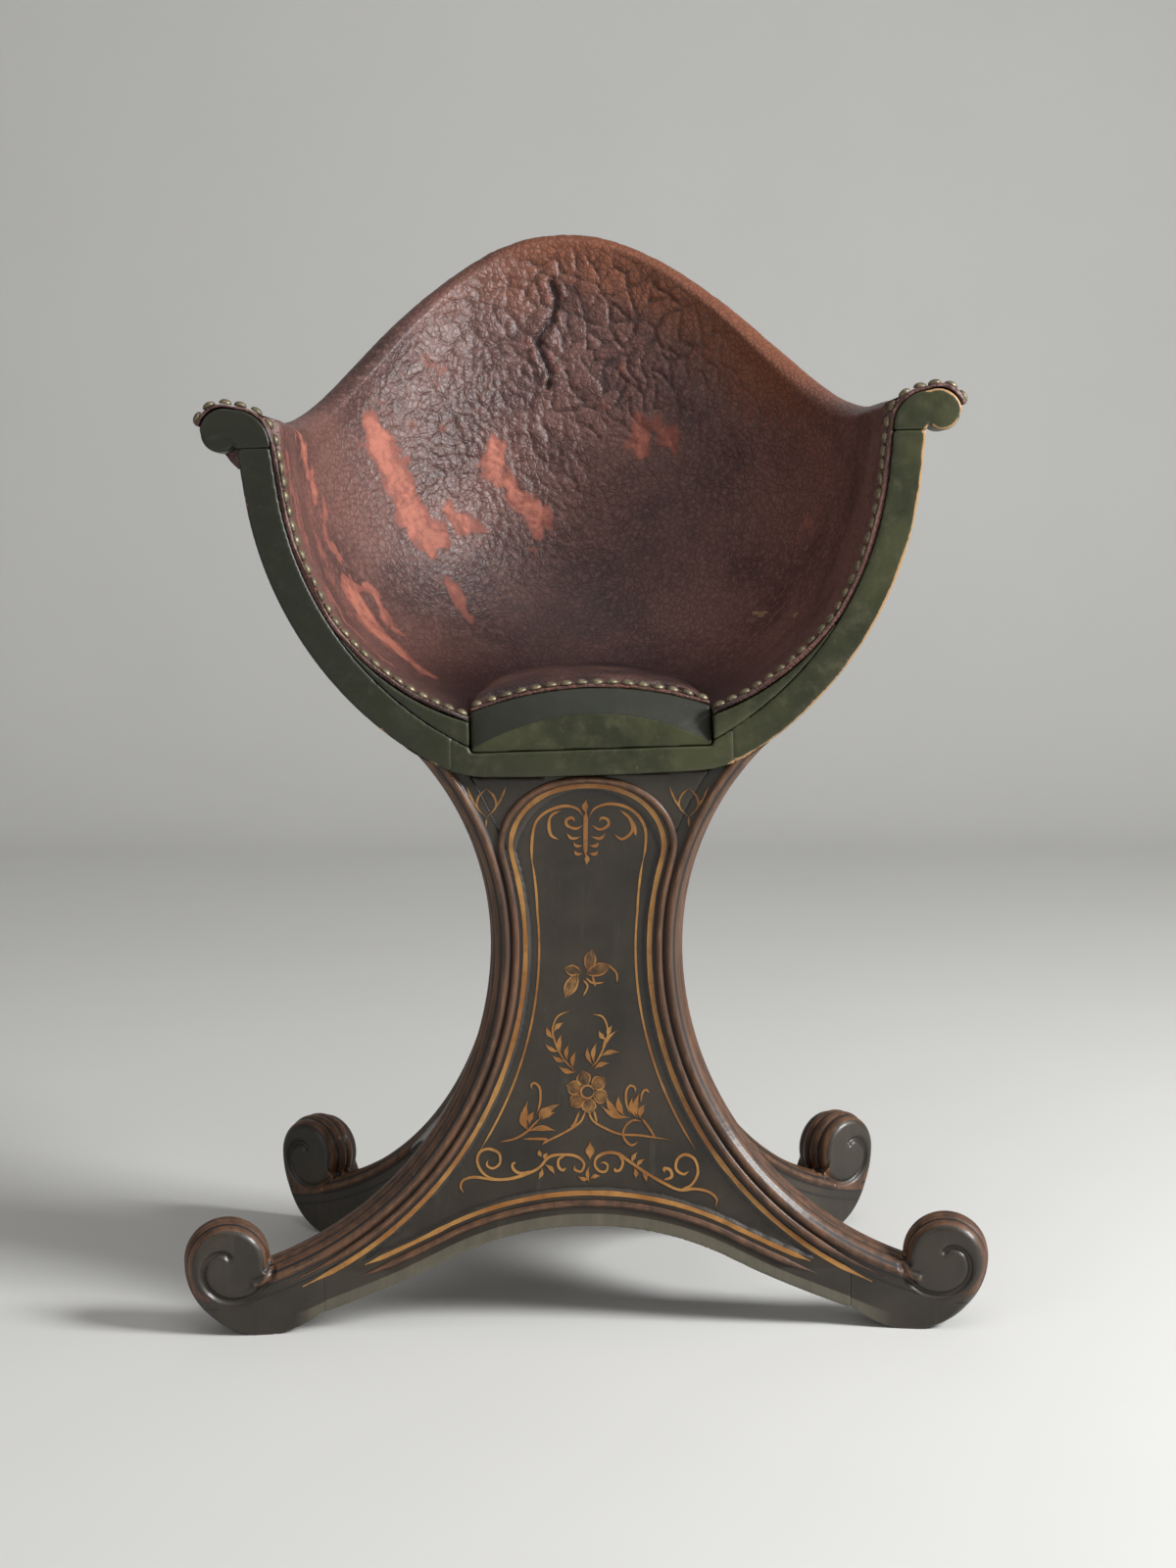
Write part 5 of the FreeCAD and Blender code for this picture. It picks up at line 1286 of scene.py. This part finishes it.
gold.lines(stems, 0.0016, 0.4)
gold.leaves(stem_leaves, 0.0043)
print("with the stems", len(gold.faces), "faces")

# %% Running border
border = [
    [(-89.5, 98), (-91.6, 102), (-89.5, 107), (-81, 109), (-67, 107), (-54, 108), (-41.5, 112), (-34.4, 116),
     (-27.3, 123.3), (-16, 124.6), (-7.5, 123), (-2.6, 118), (-4.7, 112.6), (-9.3, 113.8), (-9.3, 117)],
    [(-54, 108), (-67, 107.5), (-75.4, 111.7), (-79.6, 120), (-77.5, 127), (-71, 129), (-64, 125.7),
     (-63.4, 118.7), (-68.3, 115.2), (-72.6, 117.3), (-71.8, 121.5)],
    [(-40, 113), (-48.6, 111.5), (-53.5, 114.4), (-54.2, 118), (-52, 119.3)],
    [(-16, 124.6), (-21, 121), (-21, 116), (-18.2, 113.4), (-15.8, 115.2)],
    [(8.7, 118), (11.5, 118.8), (14.4, 116.7), (13, 112.5), (8.7, 112.5), (5.2, 116.7), (6.6, 122.4),
     (13.7, 125.8), (22.2, 124.8), (29.2, 120), (36.3, 115), (44.8, 109.4), (54.7, 103.8), (66, 98.8),
     (77.3, 99.4), (87.3, 97.2), (93, 92.3), (92.2, 86.7)],
    [(66, 98.8), (74.5, 102), (79.5, 110.6), (77.4, 120.4), (70.4, 124), (64.7, 120.5), (64, 113.5),
     (69, 110), (73, 112)],
    [(54.7, 106), (60.4, 108), (59.7, 112.8), (55.4, 114.3), (55.4, 111.5)],
    [(22.2, 124.4), (25.3, 119.4), (23.6, 113.8), (20, 112.7), (19.6, 115)],
]
border_leaves = [
    ((-33, 115.6), (-36, 107)), ((-31, 117.7), (-23.8, 110)), ((-33, 123), (-35, 128.5)),
    ((-31.6, 121), (-28.7, 126)), ((32, 118), (36, 126)), ((35, 115), (41.3, 121)), ((33.5, 115), (34.2, 107)),
    ((38.4, 113.7), (42.2, 104)), ((1.3, 107), (-7, 109)), ((1.3, 107), (9, 109)), ((1.3, 104), (1.3, 117)),
]
gold.lines(border, 0.0020, 0.35, 70)
gold.leaves(border_leaves, 0.0030)
gold.leaf((1.6, 120.5), (1.7, 134), 0.0062, 0.0)
new_piece("gold_painting", gold.mesh("gold_painting"), gold_paint, "chair", "pedestal_lacquer")
print("gold painting", len(gold.faces), "faces")

# %% [markdown]
# ## The arched bead
# A half-round bead climbs the inside of each leg and arches over the painted board, and a second one follows
# the lower arch. A bevelled curve would give the same strip but not lie down on the hollow front, so each is
# a small closed outline carried along its line on the front face.

# %% Beads
BEAD_SUNK = 0.0008
BEAD_TAPER = 12


def bead_mesh(name, line, wide, high):
    """A half-round strip along a line on the front, thin at both ends."""
    along = np.gradient(line, axis=0)
    along /= np.linalg.norm(along, axis=1)[:, None]
    across = np.c_[-along[:, 1], along[:, 0]]
    turns = np.radians(np.linspace(0, 360, 13)[:-1])
    proud = np.sin(turns)
    steps = np.arange(len(line))
    ends = np.clip(np.minimum(steps, steps[::-1]) / BEAD_TAPER, 0.05, 1)
    rings = []
    for place, side, end, base in zip(line, across, ends, front_y(line[:, 0], line[:, 1])):
        front = place + np.outer(np.cos(turns) * wide / 2 * end, side)
        y = base - proud * np.where(proud > 0, high * end, BEAD_SUNK)
        rings.append(np.c_[front[:, 0], y, front[:, 1]])
    mesh = grid_mesh(name, np.array(rings))
    note(mesh, "reeded", 1)
    note(mesh, "band", 0)
    note(mesh, "edge", 0.7 * np.tile(np.clip(proud, 0, 1) ** 3, len(line)))
    # the bead's flanks, where it meets the board, go dark: old polish and painted shade
    note(mesh, "hollow", 1 - np.tile(np.clip(proud * 2.2, 0, 1), len(line)))
    return mesh


bead_lines = {
    "arched_bead": (arched_line(0.0156, 0.3962, 0.036), 0.0056, 0.0030),
    "lower_bead": (arch_line(0.0165, 0.165), 0.0054, 0.0028),
}
for name, kind in bead_lines.items():
    bead = new_piece(name, bead_mesh(name, *kind), *LACQUERED)
    print(name, len(bead.data.polygons), "faces")

# %% [markdown]
# ## The leather skin
# One skin lines the bowl, climbs over the padded rim and is nailed down the front of both arms. As a sheet of
# cloth it would slide; it is glued and stretched, so it is built as what it lies on: a closed outline from
# the seat well up the wall and over the rim, carried round the bowl.

# %% Bowl sizes
APSE_Y = HOOP_Y + 0.150
HOOP_BACK_Y = HOOP_Y + 0.034
SKIN_FRONT_Y = HOOP_Y + 0.002
SKIN_R = 0.237
STAVE_OUTER_R = 0.262
HOOP_INNER_R = 0.241
ARM_TOP_Z = 0.661
CREST_RISE = 0.165
RIM_POWER = 2.9
ROLL_HIGH = 0.026
ROLL_CROWN = 0.011
EAR_JOINT_Z = 0.636
EAR_RISE = 0.027
EAR_OUT = 0.025
EAR_HOOK = 0.013


def rim_z(turn_deg):
    """Height of the rim by the angle round the back."""
    return ARM_TOP_Z + CREST_RISE * np.abs(np.sin(np.radians(turn_deg))) ** RIM_POWER


def arc_points(first, middle, last, count):
    """Points along the circle through three points."""
    (ax, az), (bx, bz), (cx, cz) = first, middle, last
    d = 2 * (ax * (bz - cz) + bx * (cz - az) + cx * (az - bz))
    a2, b2, c2 = ax ** 2 + az ** 2, bx ** 2 + bz ** 2, cx ** 2 + cz ** 2
    ox = (a2 * (bz - cz) + b2 * (cz - az) + c2 * (az - bz)) / d
    oz = (a2 * (cx - bx) + b2 * (ax - cx) + c2 * (bx - ax)) / d
    radius = math.hypot(ax - ox, az - oz)
    angles = np.unwrap([math.atan2(z - oz, x - ox) for x, z in (first, middle, last)])
    sweep = np.linspace(angles[0], angles[2], count)
    return np.c_[ox + radius * np.cos(sweep), oz + radius * np.sin(sweep)]


print("rim at the arms and at the crest, mm", (1000 * rim_z([0, 90])).round(1).tolist())

# %% Skin outlines
SWEEP_ROWS = 26
WALL_ROWS = 160
FACE_ROWS = SWEEP_ROWS + WALL_ROWS
OVER_ROWS = 34
BACK_ROWS = 44
WELL_X = 0.0867
SKIN_LOW_Z = 0.4443
SKIN_TURN_Z = 0.509
SWEEP_MIDDLE = (0.1412, 0.4741)
ROLL_OVER = 0.004
ROLL_TUCK = 0.004
ROLL_THICK = 0.006


def skin_wall(top_z, thick, sweep_rows, wall_rows):
    """From the seat well up the wall, at this depth behind the leather's face."""
    radius = SKIN_R + thick
    middle = (SWEEP_MIDDLE[0] + 0.7 * thick, SWEEP_MIDDLE[1] - 0.7 * thick)
    last = (float(wall_x(radius, SKIN_TURN_Z)), SKIN_TURN_Z)
    sweep = arc_points((WELL_X, SKIN_LOW_Z - thick), middle, last, sweep_rows)
    heights = np.linspace(SKIN_TURN_Z, top_z, wall_rows + 1)[1:]
    return np.vstack([sweep, np.c_[wall_x(radius, heights), heights]])


def front_of_skin(top_z):
    return skin_wall(top_z, 0.0, SWEEP_ROWS, WALL_ROWS)


def back_of_skin(top_z, thick):
    return skin_wall(top_z, thick, BACK_ROWS // 3, BACK_ROWS - BACK_ROWS // 3)[::-1]


def rim_outline(top_z, high, over, tuck):
    """Up the wall, over the padded rim, and back down behind."""
    base_z = top_z - high
    inner = float(wall_x(SKIN_R, base_z))
    outer = float(wall_x(STAVE_OUTER_R + over, base_z))
    shoulder = top_z - ROLL_CROWN
    rows = OVER_ROWS // 3
    up = np.c_[np.linspace(inner, inner + 0.0005, rows), np.linspace(base_z, shoulder, rows)][1:]
    turn = np.linspace(math.pi, 0, OVER_ROWS - 2 * rows + 2)
    middle, half = (inner + outer) / 2, (outer - inner) / 2
    crown = np.c_[middle + half * np.cos(turn), shoulder + ROLL_CROWN * np.sin(turn)]
    share = np.linspace(0, 1, rows + 1)[1:]
    down = np.c_[outer - tuck * share ** 1.5, shoulder + (base_z - shoulder) * share]
    over_rim = np.vstack([up, crown[1:-1], down])
    return np.vstack([front_of_skin(base_z), over_rim, back_of_skin(base_z, ROLL_THICK)])


# %% Outline at the ears
ARM_WIDE = 0.023
EAR_THICK = 0.0026
EAR_BACK = 0.0035


def picked(rows, count):
    """Some of the rows, evenly spaced."""
    return rows[np.linspace(0, len(rows) - 1, count).astype(int)]


def ear_outline():
    """Up the wall, over the hook of an ear, and back behind."""
    inner = float(wall_x(HOOP_INNER_R, EAR_JOINT_Z)) - 0.003
    outer = float(wall_x(HOOP_INNER_R + ARM_WIDE, EAR_JOINT_Z))
    waist = (inner + 0.006, EAR_JOINT_Z + EAR_RISE * 0.66 + 0.0015)
    top = (outer + 0.002, EAR_JOINT_Z + EAR_RISE + 0.003)
    tip = (outer + EAR_OUT + 0.003, top[1] - EAR_HOOK)
    bend = (tip[0] - EAR_HOOK / 3, top[1] - EAR_HOOK / 3)
    rows = len(rim_outline(ARM_TOP_Z, ROLL_HIGH, ROLL_OVER, ROLL_TUCK)) - FACE_ROWS - BACK_ROWS
    inside = arc_points((inner, EAR_JOINT_Z), waist, top, rows // 2 + 1)[1:]
    crown = arc_points(top, bend, tip, rows - rows // 2 + 1)[1:]
    over = np.vstack([inside, crown])
    pull = np.array([outer - 0.004, EAR_JOINT_Z + 0.004]) - over
    under = (over + EAR_THICK * pull / np.linalg.norm(pull, axis=1)[:, None])[::-1]
    lower = back_of_skin(EAR_JOINT_Z, EAR_BACK)
    behind = [picked(under, BACK_ROWS // 2), picked(lower, BACK_ROWS - BACK_ROWS // 2)]
    return np.vstack([front_of_skin(EAR_JOINT_Z), over] + behind)


print("ear outline", len(ear_outline()), "points")

# %% Carrying the outline round the bowl
EAR_STATIONS = 10
ARM_STATIONS = 34
APSE_STATIONS = 400
EAR_STEP = 0.0003
EAR_ROLL = {"right": 0.026, "left": 0.040}
EAR_RIM = np.array([EAR_JOINT_Z + EAR_RISE, 0.026, 0.020])  # top, reach over the shell, tuck below
BACK_RIM = np.array([ARM_TOP_Z, ROLL_OVER, ROLL_TUCK])


def arm_outline(share, side):
    """The outline along an arm, from the ear at 0 to the round back at 1."""
    top_z, over, tuck = EAR_RIM + (BACK_RIM - EAR_RIM) * (share * share * (3 - 2 * share))
    high = EAR_ROLL[side] + (ROLL_HIGH - EAR_ROLL[side]) * share
    return rim_outline(top_z, high, over, tuck)


def station(outline, y, turn_deg):
    """An outline stood up at its place round the bowl."""
    turn = math.radians(turn_deg)
    x = outline[:, 0]
    return np.c_[x * math.cos(turn), y + x * math.sin(turn), outline[:, 1]]


def arm_stations(side):
    turn_deg = 0 if side == "right" else 180
    rings = [station(ear_outline(), y, turn_deg) for y in np.linspace(SKIN_FRONT_Y, HOOP_BACK_Y, EAR_STATIONS)]
    start_y = HOOP_BACK_Y + EAR_STEP
    for share in np.linspace(0, 1, ARM_STATIONS):
        rings.append(station(arm_outline(share, side), start_y + (APSE_Y - start_y) * share, turn_deg))
    return rings


skin_rings = arm_stations("right")[:-1]
for turn_deg in np.linspace(0, 180, APSE_STATIONS):
    skin_rings.append(station(rim_outline(rim_z(turn_deg), ROLL_HIGH, ROLL_OVER, ROLL_TUCK), APSE_Y, turn_deg))
skin_rings = np.array(skin_rings + arm_stations("left")[::-1][1:])
print("skin", skin_rings.shape[0], "stations of", skin_rings.shape[1], "points")

# %% [markdown]
# ## Ageing the leather
# The hide has dried into a network of wrinkles, deepest high on the back, has split once, and is rubbed where
# backs and arms touch it. A sculpting brush could press all this in by hand. Here the skin is laid flat like
# a map, so that each crack and patch has its place in degrees round the bowl and in height.

# %% The skin laid flat
ROUND_R = 0.22
WANDER = 0.016
skin_mesh = grid_mesh("leather_skin", skin_rings)
skin_points = points_of(skin_mesh)
height = skin_points[:, 2]
row = np.tile(np.arange(skin_rings.shape[1]), skin_rings.shape[0])
seen = row < FACE_ROWS + OVER_ROWS - 4
on_right = skin_points[:, 0] > 0
behind_arms = skin_points[:, 1] - APSE_Y
angle = np.degrees(np.arctan2(behind_arms, skin_points[:, 0]))
angle = np.where(behind_arms > 0, angle, np.where(on_right, 0, 180))
before_apse = np.maximum(-behind_arms, 0) * np.where(on_right, -1, 1)
flat = np.c_[np.radians(angle) * ROUND_R + before_apse, height, np.zeros(len(height))]


def uneven(size, seed):
    """Noise round 0 over the skin."""
    return mottle(skin_points, size, seed) - 0.5


loose = flat + WANDER * np.c_[uneven(0.021, 11), uneven(0.021, 12), np.zeros(len(height))]
print("skin laid flat, m", np.ptp(flat[:, :2], axis=0).round(2).tolist())

# %% Cells and lines on the flat skin
def cell_edges(flat, size, seed):
    """0 in the middle of a cell to 1 on the line between two."""
    rng = np.random.default_rng(seed)
    low, high = flat[:, :2].min(0), flat[:, :2].max(0)
    count = int(np.prod((high - low) / size))
    seeds = low + rng.random((count, 2)) * (high - low)
    tree = kdtree.KDTree(count)
    for index, (x, z) in enumerate(seeds):
        tree.insert((x, z, 0), index)
    tree.balance()
    gap = np.array([[hit[2] for hit in tree.find_n(place, 2)] for place in flat])
    return 1 - np.clip((gap[:, 1] - gap[:, 0]) / (0.5 * size), 0, 1)


def from_line(knots, where):
    """Distance on the unrolled skin from a line of (degrees round the bowl, height) knots."""
    knots = np.array([(math.radians(turn) * ROUND_R, z) for turn, z in knots])
    nearest = np.full(len(where), 9.0)
    for first, second in zip(knots, knots[1:]):
        reach = second - first
        share = np.clip(((where - first) @ reach) / max(reach @ reach, 1e-9), 0, 1)
        nearest = np.minimum(nearest, np.linalg.norm(where - first - share[:, None] * reach, axis=1))
    return nearest


# %% Wrinkles and the long crack
WRINKLE_DEEP = 0.0021
CREASE_DEEP = 0.0015
SPLIT_DEEP = 0.0036
SPLIT_WIDE = 0.0022
LIP_HIGH = 0.0010
below_rim = rim_z(angle) - height
calm = np.clip((below_rim - 0.004) / 0.02, 0.25, 1) * seen
dry = fading(angle - 80, 36) * np.clip((height - 0.60) / 0.10, 0, 1)
dry = np.clip(1.2 * dry + 0.6 * uneven(0.05, 21), 0, 1) * calm
creased = fading(angle - 108, 34) * np.clip((height - 0.50) / 0.08, 0, 1)
creased = np.clip(1.1 * creased + 0.5 * uneven(0.04, 22), 0, 1) * calm
wrinkle = cell_edges(loose * np.array([1.25, 1, 1]), 0.021, 31) ** 4
crease = cell_edges(loose, 0.0095, 32) ** 3
split = [(93, 0.786), (92, 0.772), (93.5, 0.752), (96.5, 0.738), (96, 0.728), (94, 0.708), (94.5, 0.696)]
from_split = from_line(split, flat[:, :2]) + 0.003 * uneven(0.008, 23)
cut = fading(from_split, SPLIT_WIDE) * seen
lip = fading(from_split - 0.006, 0.004) * seen
press = -WRINKLE_DEEP * dry * wrinkle - CREASE_DEEP * np.maximum(creased, 0.6 * dry) * crease
press += 0.0012 * uneven(0.015, 33) * (0.3 * seen + dry)
press += 0.0030 * uneven(0.075, 34) * seen
press += LIP_HIGH * lip - SPLIT_DEEP * cut
move_points(skin_mesh, settle(skin_points + normals_of(skin_mesh) * press[:, None]))
crack = np.maximum(0.9 * dry * wrinkle, 0.55 * np.maximum(creased, 0.5 * dry) * crease)
note(skin_mesh, "crack", np.clip(np.maximum(crack, cut * 1.2), 0, 1))
print("wrinkled points", int((dry > 0.4).sum()), "of", len(dry))

# %% Rubbed patches
RUBS = [  # line of (degrees round the bowl, height), width, strength
    ([(135, 0.650), (131, 0.606), (126, 0.568)], 0.017, 1.0), ([(118, 0.596), (116, 0.590)], 0.012, 0.8),
    ([(110, 0.645), (107, 0.634)], 0.008, 1.0), ([(106, 0.624), (98, 0.586)], 0.011, 0.95),
    ([(101, 0.572), (99, 0.560)], 0.010, 0.6), ([(75, 0.656), (74, 0.642)], 0.014, 0.85),
    ([(68, 0.662), (66, 0.650)], 0.012, 0.7), ([(124, 0.530), (123, 0.520)], 0.011, 0.8),
    ([(176, 0.650), (166, 0.618)], 0.006, 0.9), ([(163, 0.600), (159, 0.560)], 0.009, 0.65),
    ([(161, 0.540), (161, 0.478)], 0.017, 1.0), ([(154, 0.540), (152, 0.500)], 0.007, 0.8),
    ([(172, 0.610), (172, 0.500)], 0.020, 0.45), ([(20, 0.600), (28, 0.560)], 0.010, 0.5),
    ([(200, 0.640), (196, 0.570), (190, 0.500)], 0.026, 0.5), ([(140, 0.660), (120, 0.700)], 0.030, 0.30),
    ([(60, 0.740), (85, 0.700)], 0.030, 0.28),
]
frayed = flat[:, :2].copy()
for size, reach, seed in ((0.024, 0.030, 41), (0.009, 0.012, 43)):
    frayed += reach * np.c_[uneven(size, seed), uneven(size, seed + 1)]
scuff = 0.42 * lip
for knots, wide, strength in RUBS:
    scuff = np.maximum(scuff, strength * np.clip(1.45 - 0.9 * from_line(knots, frayed) / wide, 0, 1))
note(skin_mesh, "scuff", scuff * seen)
note(skin_mesh, "russet", np.clip(1.1 - below_rim / 0.10, 0, 1) * fading(angle - 66, 46))
# painted shade: the skin darkens towards the seat well
note(skin_mesh, "grime", np.clip(1 - (height - 0.44) / 0.06, 0, 1) * 0.7)
skin_piece = new_piece("leather_skin", skin_mesh, leather, "chair", "leather")
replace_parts(skin_piece, "leather_lining", "rim_roll", "left_ear_leather", "right_ear_leather")
print("leather skin", len(skin_mesh.polygons), "faces")

# %% [markdown]
# ## The lift-out seat
# The pad is a crowned leather cushion on a board. Real stuffing pushes its skin out evenly, so the CAD solid
# is remeshed and blown up a little as cloth with pressure, with each point kept within a few millimetres.

# %% Seat pad
PAD_VOXEL = 0.0036
PAD_CAP = 0.006
PAD_FRAMES = 20
PAD_PRESSURE = 4.0
PAD_CROWN = 0.003
SEAT_LEATHER = (leather, "seat", "leather")


def swollen(piece):
    """Blows the pad up as cloth; its underside stays on the board."""
    rest = points_of(piece.data)
    cloth = piece.modifiers.new("stuffing", "CLOTH")
    cloth.settings.use_pressure = True
    cloth.settings.uniform_pressure_force = PAD_PRESSURE
    cloth.settings.effector_weights.gravity = 0
    cloth.point_cache.frame_end = PAD_FRAMES
    for step in range(1, PAD_FRAMES + 1):
        bpy.context.scene.frame_set(step)
    graph = bpy.context.evaluated_depsgraph_get()
    blown = points_of(piece.evaluated_get(graph).to_mesh())
    piece.modifiers.remove(cloth)
    bpy.context.scene.frame_set(1)
    shift = blown - rest
    far = np.linalg.norm(shift, axis=1)[:, None]
    shift *= np.minimum(1, PAD_CAP / np.maximum(far, 1e-9))
    low = rest[:, 2].min()
    shift[:, 2] = np.where(rest[:, 2] < low + 0.004, 0, shift[:, 2])
    move_points(piece.data, rest + shift)
    print("seat pad swelled by up to", round(1000 * float(np.linalg.norm(shift, axis=1).max()), 1), "mm")


def age_leather(mesh, size, seed, **wear):
    """Keeps each kind of wear, and the painted shade, on the mesh, made patchy by noise."""
    patchy = 0.4 + 1.2 * mottle(points_of(mesh), size, seed)
    for name, value in wear.items():
        note(mesh, name, value * patchy)


pad_blank = joined_mesh("pad_blank", [nodes["seat_pad"].data])
pad_mesh = softened("seat_pad_leather", pad_blank, PAD_VOXEL, 2)
seat_pad = new_piece("seat_pad_leather", pad_mesh, *SEAT_LEATHER)
swollen(seat_pad)
low, high = np.array(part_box("seat_pad"))
high[2] += PAD_CROWN
points = points_of(pad_mesh)
share = (points - points.min(0)) / np.ptp(points, axis=0)
move_points(pad_mesh, low + share * (high - low))
# painted shade: the pad is darkened all over, patchily
age_leather(pad_mesh, 0.02, 41, crack=0.25, scuff=0.0, russet=0.0, grime=0.55)
round_off = seat_pad.modifiers.new("round_off", "SUBSURF")
round_off.levels = round_off.render_levels = 1
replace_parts(seat_pad, "seat_pad")
print("seat pad", len(pad_mesh.polygons), "faces")

# %% Leather strip over the seat's front board
STRIP_VOXEL = 0.0009
strip_blank = joined_mesh("strip_blank", [nodes["seat_leather_strip"].data])
strip_mesh = softened("seat_strip_leather", strip_blank, STRIP_VOXEL, 2)
# a little painted shade on the strip
age_leather(strip_mesh, 0.012, 42, crack=0.35, scuff=0.35, russet=0.3, grime=0.2)
strip = new_piece("seat_strip_leather", strip_mesh, *SEAT_LEATHER)
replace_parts(strip, "seat_leather_strip")
print("seat strip", len(strip_mesh.polygons), "faces")

# %% [markdown]
# ## Dome nails
# Close-set brass domes hold the leather along both arms and over the seat's front. Their places are read from
# the CAD heads. Copies of one dome would look stamped, so each is built for its place, tilted and sized a
# little off true, as hammered nails are.

# %% Nails
DOME_R = 0.0048
DOME_HIGH = 0.0031
DOME_SIDES = 14
DOME_RINGS = 5
DOME_SUNK = 0.0004
DOME_TILT = 0.07
NAILED = (("left_arm_nails", "chair"), ("right_arm_nails", "chair"), ("seat_nails", "seat"))


def nail_places(node):
    """Foot and outward direction of each CAD nail head, in the order of the mesh."""
    tool = bmesh.new()
    tool.from_mesh(nodes[node].data)
    bmesh.ops.remove_doubles(tool, verts=tool.verts, dist=1e-6)
    left = dict.fromkeys(tool.verts)
    places = []
    while left:
        island = [next(iter(left))]
        del left[island[0]]
        for vert in island:
            for edge in vert.link_edges:
                other = edge.other_vert(vert)
                if other in left:
                    del left[other]
                    island.append(other)
        spots = np.array([vert.co for vert in island])
        spread = [np.ptp(np.linalg.norm(np.delete(spots, k, 0) - spot, axis=1)) for k, spot in enumerate(spots)]
        tip = int(np.argmin(spread))  # the tip is as far from one rim point as from the next
        foot = Vector(np.delete(spots, tip, 0).mean(0))
        places.append((foot, (Vector(spots[tip]) - foot).normalized()))
    tool.free()
    return places


places = {node: nail_places(node) for node, _ in NAILED}
print("nails", {node: len(found) for node, found in places.items()})

# %% Domes in their places
def dome_points(foot, outward, rng):
    """The rings of one dome from its sunk rim up, and its tip."""
    outward = (outward + Vector(rng.normal(0, DOME_TILT, 3))).normalized()
    side = outward.orthogonal().normalized()
    other = outward.cross(side)
    radius = DOME_R * rng.uniform(0.92, 1.06)
    lifts = [math.pi / 2 * ring / DOME_RINGS for ring in range(1, DOME_RINGS)]
    levels = [(-DOME_SUNK, 1.0)] + [(DOME_HIGH * math.sin(lift), math.cos(lift)) for lift in lifts]
    points = []
    for high, share in levels:
        for turn in np.linspace(0, 2 * math.pi, DOME_SIDES + 1)[:-1]:
            around = side * math.cos(turn) + other * math.sin(turn)
            points.append(foot + outward * high + around * radius * share)
    return points + [foot + outward * DOME_HIGH]


def nail_mesh(name, places, seed):
    rng = np.random.default_rng(seed)
    points, faces = [], []
    for foot, outward in places:
        index = len(points) + np.arange(DOME_RINGS * DOME_SIDES).reshape(DOME_RINGS, DOME_SIDES)
        points += dome_points(foot, outward, rng)
        top = index[-1].tolist()
        faces += ring_faces(index)[:-1]
        faces += [(first, second, len(points) - 1) for first, second in zip(top, top[1:] + top[:1])]
    mesh = bpy.data.meshes.new(name)
    mesh.from_pydata(points, [], faces)
    return mesh


for seed, (node, body) in enumerate(NAILED):
    mesh = nail_mesh(node, places[node], seed)
    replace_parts(new_piece(node.replace("nails", "domes"), mesh, nail_brass, body, "nail_brass"), node)
    print(node, len(mesh.polygons), "faces")

# %% [markdown]
# ## What stays as it is
# The coopered shell, its floor, the bearers, the blocks and the seat's board keep their CAD forms, because
# sawn boards are what they are. They get dull paint outside and bare wood inside.

# %% Finishes for the other pieces
for name, node in nodes.items():
    if node.hide_render:
        continue
    finish = shell_paint if "stave" in name else bare_wood
    node.data.materials.clear()
    node.data.materials.append(finish)
print("CAD pieces kept", sum(not node.hide_render for node in nodes.values()))
